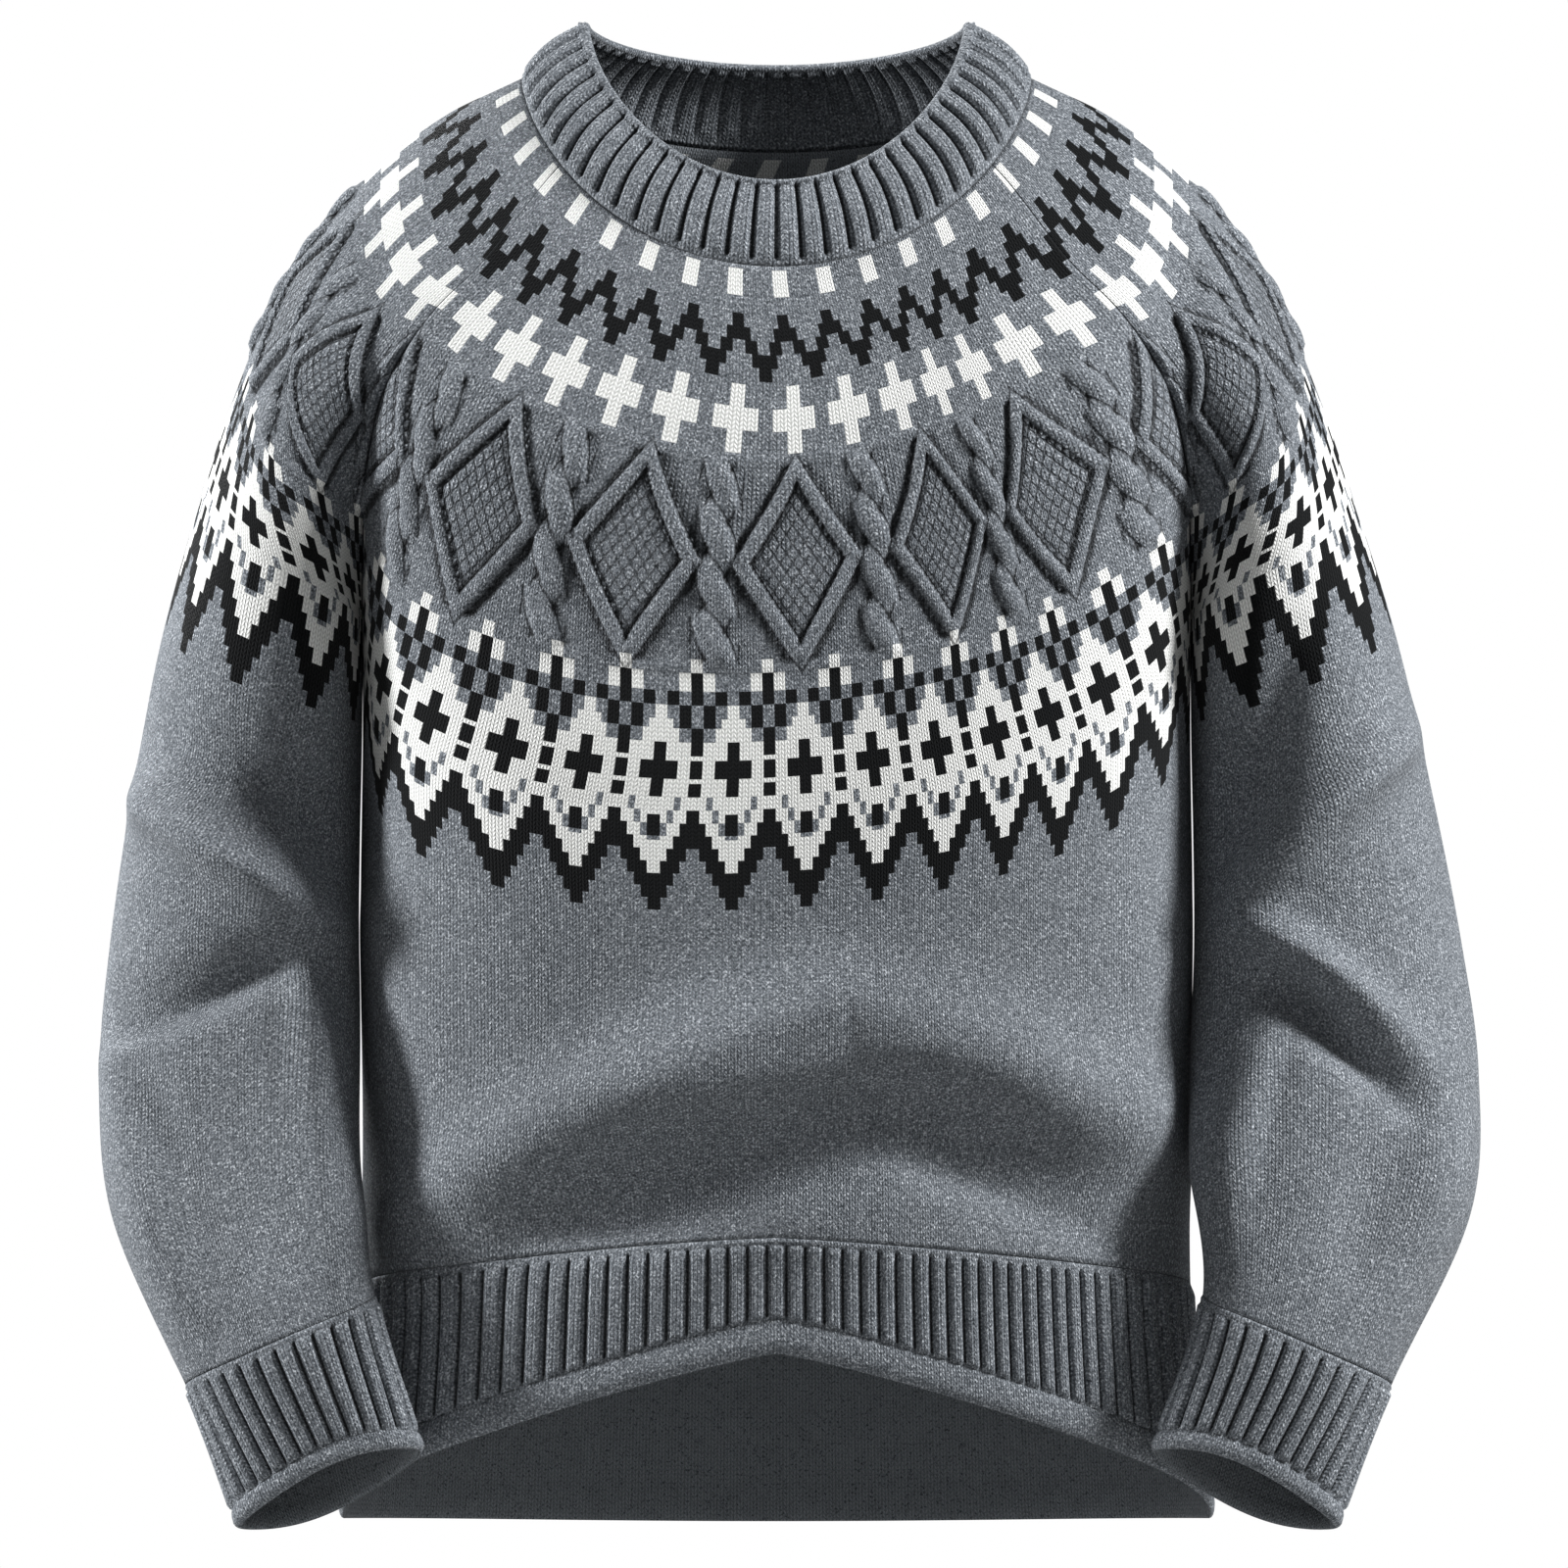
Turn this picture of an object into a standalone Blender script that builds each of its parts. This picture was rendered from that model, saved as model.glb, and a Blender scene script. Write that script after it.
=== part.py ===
"""Nordic yoke sweater, filled out with no wearer: a hollow shell of knitted pieces.

Sizes below are in millimetres. X runs across the chest, the front faces -Y and Z is up. The origin is in
the middle of the neck opening, where the garment hangs on the shoulders of whoever wears it.
Every piece is a wall: an outer grid that carries the ribs, cables and diamonds, a plain inner grid, and
rims between the two.
"""
import math

import bpy
import numpy as np

MM = 0.001
WALL = 2.4
SEAM_GAP = 0.3
HALF_GAP = SEAM_GAP / 2

# Knitted relief
RIB_DEPTH = 1.2
RIB_POINTS = 3
RIBS_COLLAR = 52
RIBS_HEM_FRONT = 50
RIBS_HEM_BACK = 46
RIBS_CUFF = 24
ROLL_HEIGHT = 1.6
CABLE_MIDDLE = 2.8
CABLE_HIGH = 2.4
CABLE_LOW = 1.0
DIAMOND_RIDGE = 2.2
DIAMOND_FIELD = 0.9
DIAMOND_HALF = 4

# Grid columns: a cable and a diamond together take REPEAT_COLUMNS; a whole piece has the counts below
REPEAT_COLUMNS = 12
FRONT_COLUMNS = 72
BACK_COLUMNS = 60
SLEEVE_COLUMNS = 48

# Distances down the cloth from the neck seam
CABLE_TOP = 90.0
CABLE_END = 180.0
UNDERARM = 245.0
BODY_END = 452.0
HEM_END = 512.0
WELT = 16.0
SLEEVE_END = 600.0
CUFF_END = 675.0

# Neck seam and collar rim: half-width, reach to the front and back, and the heights there
NECK = {"side": 117.0, "front": 95.0, "back": 78.0, "z_side": 9.0, "z_front": -81.0, "z_back": -20.0}
RIM = {"side": 86.0, "front": 74.0, "back": 55.0, "z_side": 34.0, "z_front": -41.0, "z_back": 18.0}
NECK_FRONT_ANGLE = 57.0
NECK_BACK_ANGLE = 127.0
NECK_TILT = 0.75
NECK_BLEND = 60.0
COLLAR_BULGE = 4.0
COLLAR_ROWS = [0.0, 0.12, 0.5, 0.9, 1.0]

# Raglan seams, one row for each place down the seam
RAGLAN_FRONT = ("v x y z", [
    (0, 98, -52, -44),
    (40, 127, -66, -73),
    (80, 157, -72, -102),
    (118, 178, -68, -134),
    (155, 186, -55, -168),
    (200, 189, -32, -208),
    (UNDERARM, 190, 0, -240),
])
RAGLAN_BACK = ("v x y z", [
    (0, 93, 47, -10),
    (40, 124, 66, -32),
    (80, 152, 76, -62),
    (118, 174, 76, -98),
    (155, 185, 64, -140),
    (200, 189, 36, -195),
    (UNDERARM, 190, 0, -240),
])

# Side seams, below the underarm
SIDE_SEAM = ("v x y z", [
    (UNDERARM, 190, 0, -240),
    (300, 190, 0, -292),
    (370, 191, 0, -390),
    (410, 190, 0, -460),
    (BODY_END, 190, 0, -545),
    (HEM_END, 200, 0, -652),
])

# Body sections: height and depth at the centre, how the row bows up to its edge, the direction in which
# it meets the seam (0 straight out, 90 straight back) and the roundness at the centre and the edge
FRONT = ("v z_mid depth bow turn round_mid round_edge", [
    (0, -81, 95, 1.2, 40, 52, 30),
    (70, -151, 113, 1.6, 30, 80, 40),
    (110, -191, 119, 1.8, 50, 95, 35),
    (155, -236, 123, 2.0, 80, 110, 30),
    (200, -281, 126, 2.2, 86, 118, 55),
    (UNDERARM, -326, 127, 2.3, 90, 122, 85),
    (300, -376, 126, 2.4, 90, 122, 84),
    (370, -438, 122, 2.4, 90, 122, 82),
    (BODY_END, -519, 116, 1.25, 90, 120, 78),
    (HEM_END, -572, 112, 1.2, 90, 122, 74),
])
BACK = ("v z_mid depth bow turn round_mid round_edge", [
    (0, -20, 78, 1.2, 40, 50, 26),
    (70, -86, 101, 1.6, 34, 78, 36),
    (110, -124, 108, 1.8, 55, 95, 34),
    (155, -168, 112, 2.0, 78, 108, 32),
    (200, -214, 113, 2.2, 86, 116, 55),
    (UNDERARM, -262, 112, 2.3, 90, 120, 78),
    (300, -322, 108, 2.4, 90, 120, 76),
    (370, -410, 102, 2.4, 90, 120, 72),
    (BODY_END, -553, 100, 2.0, 90, 120, 68),
    (HEM_END, -659, 98, 2.0, 90, 124, 66),
])

# Sleeve sections down to the underarm: the outermost point, and how the row leaves either raglan seam
# (0 straight out, negative towards the outside of the crease) with the roundness at seam and outermost
SLEEVE_CAP = ("v x y z lead_front lead_back round_seam round_front round_back", [
    (0, 117, 5, 9, 62, 62, 22, 20, 18),
    (40, 151, 5, -7, 48, 48, 30, 30, 28),
    (80, 185, 5, -33, 25, 28, 38, 40, 38),
    (118, 211, 4, -63, -8, 0, 42, 52, 50),
    (155, 231, 3, -94, -42, -35, 50, 66, 62),
    (200, 248, 3, -134, -72, -66, 74, 82, 76),
    (UNDERARM, 263, 3, -178, -90, -90, 96, 96, 90),
])
# Closed sleeve sections: the innermost and outermost points and the depths in front and behind
SLEEVE_TUBE = ("v in_x in_y in_z out_x out_y out_z front back", [
    (UNDERARM, 190, 0, -240, 263, 3, -178, 96, 90),
    (300, 190.8, -3, -292, 283, 4, -246, 92, 88),
    (360, 191, -10, -342, 298, 4, -318, 86, 84),
    (420, 191, -18, -386, 309, 2, -388, 80, 80),
    (480, 191, -34, -438, 314, -12, -446, 76, 74),
    (540, 191, -56, -492, 308, -40, -512, 66, 66),
    (SLEEVE_END, 187, -84, -546, 273, -70, -588, 46, 52),
    (CUFF_END, 165, -98, -616, 248, -88, -652, 24, 26),
])
# How far the left and the right sleeve lie out from these places, at their inner and outer points
SIDE_SHIFT = ("v in_left in_right out_left out_right", [
    (UNDERARM, 0, 0, 0, 0),
    (360, 0, 0, -2, 3),
    (430, 0, 0, -3, 6),
    (540, 0, 3, -5, 8),
    (SLEEVE_END, -5, 6, -5, 6),
    (CUFF_END, -5, 5, -5, 5),
])
# The cuffs gape: the front edge is pushed up and the back edge hangs lower
CUFF_GAPE = ("v lift", [(0, 0), (SLEEVE_END, 0), (CUFF_END, 11)])
# Rows of the yoke lie a little lower on the left
YOKE_TILT = ("v drop", [(0, 0), (90, 5), (240, 14), (380, 8), (BODY_END, 0), (HEM_END, 0)])

# How far the front's pattern lies off its even places across the chest, above and at the border
PATTERN_LIE = ("place upper lower", [
    (-1, 0, 0),
    (-0.8, -0.02, -0.02),
    (-0.667, -0.02, 0),
    (-0.5, -0.01, 0.04),
    (-0.333, 0.005, 0.05),
    (0, 0.05, 0.052),
    (0.333, 0.045, 0.015),
    (0.5, 0, -0.02),
    (0.667, -0.04, -0.045),
    (0.8, -0.03, -0.03),
    (1, 0, 0),
])
LIE_ROWS = (135, 235)

# Folds, a row each: the side of the garment (-1 front, 1 back), three points of the crest or the bottom
# of the trough in the front view, the half-width, and the height (troughs are negative)
FOLDS = ("side x1 z1 x2 z2 x3 z3 width height", [
    (-1, -168, -512, -60, -448, 32, -416, 23, 19),
    (-1, 32, -416, 105, -440, 188, -486, 24, 15),
    (-1, -115, -516, -30, -493, 45, -464, 21, -14),
    (-1, 45, -464, 95, -486, 150, -510, 21, -12),
    (-1, -30, -512, 5, -506, 40, -512, 20, 5),
    (-1, -184, -60, -185, -98, -187, -138, 15, -6),
    (-1, 184, -60, 185, -98, 187, -138, 15, -6),
    (-1, -283, -297, -225, -322, -190, -352, 18, -9),
    (-1, -297, -315, -247, -348, -206, -382, 14, 13),
    (-1, -310, -421, -256, -405, -214, -389, 13, -9),
    (-1, -312, -427, -292, -472, -270, -570, 14, 8),
    (-1, -298, -440, -278, -482, -254, -560, 14, -8),
    (-1, -220, -396, -210, -472, -198, -528, 14, 8),
    (-1, -250, -440, -243, -500, -235, -550, 22, -7),
    (-1, 238, -234, 220, -304, 194, -354, 18, -9),
    (-1, 288, -288, 252, -324, 214, -371, 15, 12),
    (-1, 214, -378, 243, -398, 292, -443, 12, 12),
    (-1, 222, -398, 240, -414, 288, -458, 13, -9),
    (-1, 225, -432, 212, -472, 205, -525, 14, 8),
    (-1, 306, -450, 304, -485, 298, -515, 14, 6),
    (-1, 275, -470, 268, -510, 255, -550, 20, -7),
    (1, -160, -500, -10, -452, 150, -508, 25, 12),
    (1, -120, -540, 10, -500, 125, -545, 23, -10),
    (1, -300, -335, -250, -352, -206, -380, 15, -8),
    (1, -306, -372, -255, -392, -212, -410, 13, 8),
    (1, 300, -325, 252, -348, 206, -376, 15, -8),
    (1, 306, -365, 256, -386, 212, -404, 13, 8),
    (1, -290, -470, -262, -510, -240, -560, 18, -6),
    (1, 290, -465, 266, -508, 246, -560, 18, -6),
])

KNIT_GREY = (0.19, 0.215, 0.235, 1.0)
RIB_GREY = (0.21, 0.235, 0.26, 1.0)


def curve(table):
    """Return a function that gives each named column of a table as a smooth function of the first."""
    names, rows = table
    data = np.array(rows, dtype=float)
    places = data[:, 0]
    steps = np.diff(places)
    columns = {}
    for index, name in enumerate(names.split()[1:], start=1):
        values = data[:, index]
        slopes = np.diff(values) / steps
        tangents = np.empty(len(values))
        tangents[0] = slopes[0]
        tangents[-1] = slopes[-1]
        for k in range(1, len(values) - 1):
            before = steps[k - 1]
            after = steps[k]
            tangents[k] = (slopes[k - 1] * after + slopes[k] * before) / (before + after)
        columns[name] = (values, tangents)

    def at(v):
        v = np.clip(np.asarray(v, dtype=float), places[0], places[-1])
        k = np.clip(np.searchsorted(places, v, side="right") - 1, 0, len(steps) - 1)
        h = steps[k]
        t = (v - places[k]) / h
        result = {}
        for name, (values, tangents) in columns.items():
            result[name] = ((2 * t**3 - 3 * t**2 + 1) * values[k] + (t**3 - 2 * t**2 + t) * h * tangents[k]
                            + (3 * t**2 - 2 * t**3) * values[k + 1] + (t**3 - t**2) * h * tangents[k + 1])
        return result

    return at


front_row = curve(FRONT)
back_row = curve(BACK)
raglan_front = curve(RAGLAN_FRONT)
raglan_back = curve(RAGLAN_BACK)
side_seam = curve(SIDE_SEAM)
sleeve_cap = curve(SLEEVE_CAP)
sleeve_tube = curve(SLEEVE_TUBE)
side_shift = curve(SIDE_SHIFT)
yoke_tilt = curve(YOKE_TILT)
cuff_gape = curve(CUFF_GAPE)
pattern_lie = curve(PATTERN_LIE)


def unit(vectors):
    return vectors / np.linalg.norm(vectors, axis=-1, keepdims=True)


def smooth_step(low, high, value):
    t = np.clip((value - low) / (high - low), 0.0, 1.0)
    return t * t * (3 - 2 * t)


def ring_point(ring, angle):
    """Point of the neck seam or the collar rim; the angle is 0 in front and 90 degrees at the +X side."""
    a = np.radians(angle)
    cos = np.cos(a)
    in_front = cos > 0
    depth = np.where(in_front, ring["front"], ring["back"])
    z_mid = np.where(in_front, ring["z_front"], ring["z_back"])
    x = ring["side"] * np.sin(a)
    y = -depth * cos
    z = ring["z_side"] + (z_mid - ring["z_side"]) * np.abs(cos) ** 1.25
    return np.stack([x, y, z], axis=-1)


def neck_normal(angles):
    """Outward direction at the neck seam, shared by the collar and the panels below it."""
    a = np.radians(angles)
    return unit(np.stack([np.sin(a), -np.cos(a), np.full_like(a, NECK_TILT)], axis=-1))


def bezier(ends, fractions):
    """Points at even distances along a cubic curve with the four given control points."""
    t = np.linspace(0, 1, 65)[:, None]
    p0, p1, p2, p3 = ends
    path = (1 - t) ** 3 * p0 + 3 * t * (1 - t) ** 2 * p1 + 3 * t * t * (1 - t) * p2 + t**3 * p3
    length = np.concatenate([[0], np.cumsum(np.linalg.norm(np.diff(path, axis=0), axis=1))])
    length /= length[-1]
    return np.stack([np.interp(fractions, length, path[:, k]) for k in range(path.shape[1])], axis=-1)


def seam_place(raglan, v):
    """Edge of the body at distance v: the raglan seam, then the side seam."""
    if v <= UNDERARM:
        return raglan(v)
    return side_seam(v)


def body_row(row_table, raglan, facing, v, fractions):
    """Row of the front (facing -1) or back (facing 1); the fractions run from -1 to 1 across it."""
    row = row_table(v)
    edge = seam_place(raglan, v)
    turn = math.radians(float(row["turn"]))
    middle = np.array([0.0, facing * row["depth"]])
    corner = np.array([edge["x"], edge["y"]])
    lead = np.array([math.cos(turn), -facing * math.sin(turn)])
    out = np.array([row["round_mid"], 0.0])
    if facing < 0:
        lie = pattern_lie(fractions)
        fractions = fractions + lie["upper"] + (lie["lower"] - lie["upper"]) * smooth_step(*LIE_ROWS, v)
    across = np.abs(fractions)
    plan = bezier((middle, middle + out, corner - lead * row["round_edge"], corner), across)
    side = np.where(fractions < 0, -1.0, 1.0)
    z = row["z_mid"] + (edge["z"] - row["z_mid"]) * across ** row["bow"]
    points = np.stack([side * plan[:, 0], plan[:, 1], z], axis=-1)
    points[:, 2] += yoke_tilt(v)["drop"] * fractions * (1 - smooth_step(0.8, 1.0, across))
    return points


def sleeve_row(side, v, fractions):
    """Row of a sleeve on one side (-1 or 1); the fractions run from the front seam round to the back."""
    front_half = fractions <= 0.5
    across = np.where(front_half, fractions * 2, 2 - fractions * 2)
    points = np.empty((len(fractions), 3))
    for half, raglan, facing, name in ((front_half, raglan_front, -1, "front"),
                                       (~front_half, raglan_back, 1, "back")):
        if v <= UNDERARM:
            cap = sleeve_cap(v)
            seam = raglan(v)
            start = np.array([seam["x"], seam["y"]])
            finish = np.array([cap["x"], cap["y"]])
            lead = math.radians(float(cap["lead_" + name]))
            leave = np.array([math.cos(lead), -facing * math.sin(lead)]) * cap["round_seam"]
            arrive = np.array([0.0, facing * cap["round_" + name]])
            z_seam = seam["z"]
            z_out = cap["z"]
        else:
            tube = sleeve_tube(v)
            shift = side_shift(v)
            hand = "left" if side < 0 else "right"
            start = np.array([tube["in_x"] + shift["in_" + hand], tube["in_y"]])
            finish = np.array([tube["out_x"] + shift["out_" + hand], tube["out_y"]])
            leave = np.array([0.0, facing * tube[name]])
            arrive = leave
            z_seam = tube["in_z"]
            z_out = tube["out_z"]
        plan = bezier((start, start + leave, finish + arrive, finish), across[half])
        rise = 0.5 - 0.5 * np.cos(math.pi * across[half])
        points[half, :2] = plan
        points[half, 2] = z_seam + (z_out - z_seam) * (0.5 * rise + 0.5 * across[half])
    points[:, 2] += cuff_gape(v)["lift"] * np.sin(2 * math.pi * fractions)
    points[:, 0] *= side
    return points


def body_angles(facing, fractions):
    """Where the points of a front or back row lie round the neck."""
    if facing < 0:
        return NECK_FRONT_ANGLE * fractions
    return 180 - (180 - NECK_BACK_ANGLE) * fractions


def sleeve_angles(side, fractions):
    """Where the points of a sleeve row lie round the neck."""
    return side * (NECK_FRONT_ANGLE + (NECK_BACK_ANGLE - NECK_FRONT_ANGLE) * fractions)


def follow_neck(row, rows, fractions, angles):
    """Rows of a panel as one grid, the first of them bent to follow the neck seam."""
    change = ring_point(NECK, angles) - row(0.0, fractions)
    return np.array([row(v, fractions) + change * (1 - smooth_step(0, NECK_BLEND, v)) for v in rows])


def body_panel(facing):
    """The front (facing -1) or back (facing 1) as a function of rows and of fractions from -1 to 1."""
    row_table, raglan = (front_row, raglan_front) if facing < 0 else (back_row, raglan_back)

    def row(v, fractions):
        return body_row(row_table, raglan, facing, v, fractions)

    return lambda rows, fractions: follow_neck(row, rows, fractions, body_angles(facing, fractions))


def sleeve_panel(side):
    """A sleeve as a function of rows and of fractions from 0 to 1 round it."""
    def row(v, fractions):
        return sleeve_row(side, v, fractions)

    return lambda rows, fractions: follow_neck(row, rows, fractions, sleeve_angles(side, fractions))


def fold_height(points, normals):
    """How far each point is moved along its normal by the folds."""
    height = np.zeros(points.shape[:-1])
    names, rows = FOLDS
    for row in rows:
        fold = dict(zip(names.split(), row))
        t = np.linspace(0, 1, 25)
        x_mid = 2 * fold["x2"] - 0.5 * (fold["x1"] + fold["x3"])
        z_mid = 2 * fold["z2"] - 0.5 * (fold["z1"] + fold["z3"])
        x = (1 - t) ** 2 * fold["x1"] + 2 * t * (1 - t) * x_mid + t * t * fold["x3"]
        z = (1 - t) ** 2 * fold["z1"] + 2 * t * (1 - t) * z_mid + t * t * fold["z3"]
        reach = (points[..., 0, None] - x) ** 2 + (points[..., 2, None] - z) ** 2
        nearest = reach.argmin(axis=-1)
        distance = np.take_along_axis(reach, nearest[..., None], axis=-1)[..., 0]
        along = 0.35 + 0.65 * np.sin(math.pi * t[nearest])
        faces_it = np.clip(2 * fold["side"] * normals[..., 1], 0, 1)
        height += fold["height"] * along * faces_it * np.exp(-distance / fold["width"] ** 2)
    return height


def panel_grid(panel, rows, fractions, outward):
    """Points and outward unit normals of a panel at the given rows and fractions across it."""
    rows = np.asarray(rows)
    low, high = fractions[0], fractions[-1]
    across = (panel(rows, np.clip(fractions + ACROSS_STEP, low, high))
              - panel(rows, np.clip(fractions - ACROSS_STEP, low, high)))
    down = panel(rows + DOWN_STEP, fractions) - panel(rows - DOWN_STEP, fractions)
    return panel(rows, fractions), unit(np.cross(down, across)) * outward


def seam_frame(first, second, first_next, second_next, first_normals, second_normals):
    """Shared normals along the seam between two panels, which keep their rims parallel in a sharp fold."""
    normals = first_normals + second_normals + unit(first_next - first) + unit(second_next - second)
    return unit(normals)


def settle_edge(points, normals, shared, column, neighbour):
    """Give an edge column the seam's shared normals and pull it half a gap away from the seam."""
    edge = points[:, column]
    along = unit(np.gradient(edge, axis=0))
    shared = unit(shared - along * (shared * along).sum(axis=-1, keepdims=True))
    inward = unit(points[:, neighbour] - edge) - normals[:, column]
    inward -= along * (inward * along).sum(axis=-1, keepdims=True)
    inward -= shared * (inward * shared).sum(axis=-1, keepdims=True)
    normals[:, column] = shared
    points[:, column] = edge + HALF_GAP * unit(inward)


# Rows of the grids, as distances from the neck seam; the band of cables and diamonds is finer
YOKE_ROWS = [HALF_GAP, 40.0, 80.0]
BAND_ROWS = list(np.linspace(CABLE_TOP, CABLE_END, 2 * DIAMOND_HALF + 1))
ARMHOLE_ROWS = [195.0, 220.0, UNDERARM]
BODY_ROWS = [285.0, 325.0, 362.0, 390.0, 420.0, BODY_END - HALF_GAP]
SLEEVE_ROWS = [280.0, 315.0, 345.0, 370.0, 390.0, 408.0, 435.0, 475.0, 525.0,
               SLEEVE_END - HALF_GAP]
COARSE = 2
# Steps over which the slope of a panel is measured
ACROSS_STEP = 0.004
DOWN_STEP = 1.5


def strip(upper, lower):
    """Triangles between two rows of point numbers, one of which may be finer by a whole factor."""
    cells = min(len(upper), len(lower)) - 1
    up = (len(upper) - 1) // cells
    low = (len(lower) - 1) // cells
    faces = []
    for cell in range(cells):
        top = upper[cell * up:(cell + 1) * up + 1]
        bottom = lower[cell * low:(cell + 1) * low + 1]
        faces += [[first, second, bottom[-1]] for first, second in zip(top, top[1:])]
        faces += [[top[0], second, first] for first, second in zip(bottom, bottom[1:])]
    return faces


def knit_colour(name, colour):
    material = bpy.data.materials.new(name)
    material.use_nodes = True
    shader = material.node_tree.nodes["Principled BSDF"]
    shader.inputs["Base Color"].default_value = colour
    shader.inputs["Roughness"].default_value = 0.9
    shader.inputs["Metallic"].default_value = 0.0
    return material


def make_wall(name, collection, material, points, normals, relief, strides, inner_rows, inner_strides,
              outward, closed_from=None):
    """Build one piece from a grid of points: outer face with its relief, plain inner face and rims.

    strides and inner_strides give how many columns each row of the two faces steps over. From row
    closed_from on, a row is a ring whose last point is its first.
    """
    outer = points + relief[..., None] * normals
    inner = points - WALL * normals
    places = []
    last = points.shape[1] - 1

    def number_rows(grid, rows, row_strides):
        numbers = []
        for row, stride in zip(rows, row_strides):
            ring = closed_from is not None and row >= closed_from
            columns = range(0, last + (0 if ring else 1), stride)
            ids = list(range(len(places), len(places) + len(columns)))
            places.extend(grid[row, columns])
            numbers.append(ids + ids[:1] if ring else ids)
        return numbers

    outer_rows = number_rows(outer, range(len(points)), strides)
    inner_numbers = number_rows(inner, inner_rows, inner_strides)
    facing_out = []
    facing_in = []
    for upper, lower in zip(outer_rows, outer_rows[1:]):
        facing_out += strip(upper, lower)
    for upper, lower in zip(inner_numbers, inner_numbers[1:]):
        facing_in += strip(upper, lower)
    facing_in += strip(outer_rows[0], inner_numbers[0])
    facing_out += strip(outer_rows[-1], inner_numbers[-1])
    open_rows = len(points) if closed_from is None else closed_from + 1
    if open_rows > 1:
        open_inner = [k for k, row in enumerate(inner_rows) if row < open_rows]
        for side, faces in ((0, facing_out), (-1, facing_in)):
            for first, second in zip(open_inner, open_inner[1:]):
                outside = [outer_rows[r][side] for r in range(inner_rows[first], inner_rows[second] + 1)]
                faces += strip(outside, [inner_numbers[first][side], inner_numbers[second][side]])
    if outward > 0:
        faces = [face[::-1] for face in facing_out] + facing_in
    else:
        faces = facing_out + [face[::-1] for face in facing_in]
    mesh = bpy.data.meshes.new(name)
    mesh.from_pydata([tuple(place * MM) for place in places], [], faces)
    mesh.materials.append(material)
    mesh.validate()
    mesh.shade_smooth()
    mesh.set_sharp_from_angle(angle=math.radians(50))
    piece = bpy.data.objects.new(name, mesh)
    collection.objects.link(piece)
    return piece


def band_relief(columns, phase):
    """Heights of the cables and diamonds over the band's rows; phase 0 puts a diamond on the middle."""
    heights = np.zeros((2 * DIAMOND_HALF + 1, columns + 1))
    half = REPEAT_COLUMNS // 2
    for column in range(2, columns - 1):
        place = (column - columns // 2 + phase + half) % REPEAT_COLUMNS - half
        for row in range(2 * DIAMOND_HALF + 1):
            off_centre = abs(place) + abs(row - DIAMOND_HALF)
            if abs(place) == half:
                heights[row, column] = CABLE_MIDDLE
            elif abs(place) == half - 1:
                crosses_over = (row % 2 == 0) == (place > 0)
                heights[row, column] = CABLE_HIGH if crosses_over else CABLE_LOW
            elif off_centre == DIAMOND_HALF:
                heights[row, column] = DIAMOND_RIDGE
            elif off_centre < DIAMOND_HALF:
                heights[row, column] = DIAMOND_FIELD
    return heights


def panel_relief(rows, columns, phase):
    relief = np.zeros((len(rows), columns + 1))
    first = rows.index(CABLE_TOP)
    relief[first:first + len(BAND_ROWS)] = band_relief(columns, phase)
    return relief


def rib_relief(rows, ribs, roll_rows):
    """Heights of upright ribs between the first and last rows that carry them, and of the rolled edge."""
    relief = np.zeros((len(rows), ribs * RIB_POINTS + 1))
    relief[1:roll_rows[0] - 1] = np.where(np.arange(ribs * RIB_POINTS + 1) % RIB_POINTS == 0, 0.0, RIB_DEPTH)
    relief[roll_rows[0]:roll_rows[1]] = ROLL_HEIGHT
    return relief


def add_folds(points, normals):
    return points + fold_height(points, normals)[..., None] * normals


def close_ring(points, normals, first_row):
    """Make the last column of the rows from first_row on the same as the first."""
    shared = unit(normals[first_row:, 0] + normals[first_row:, -1])
    normals[first_row:, 0] = shared
    normals[first_row:, -1] = shared
    points[first_row:, -1] = points[first_row:, 0]


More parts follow.
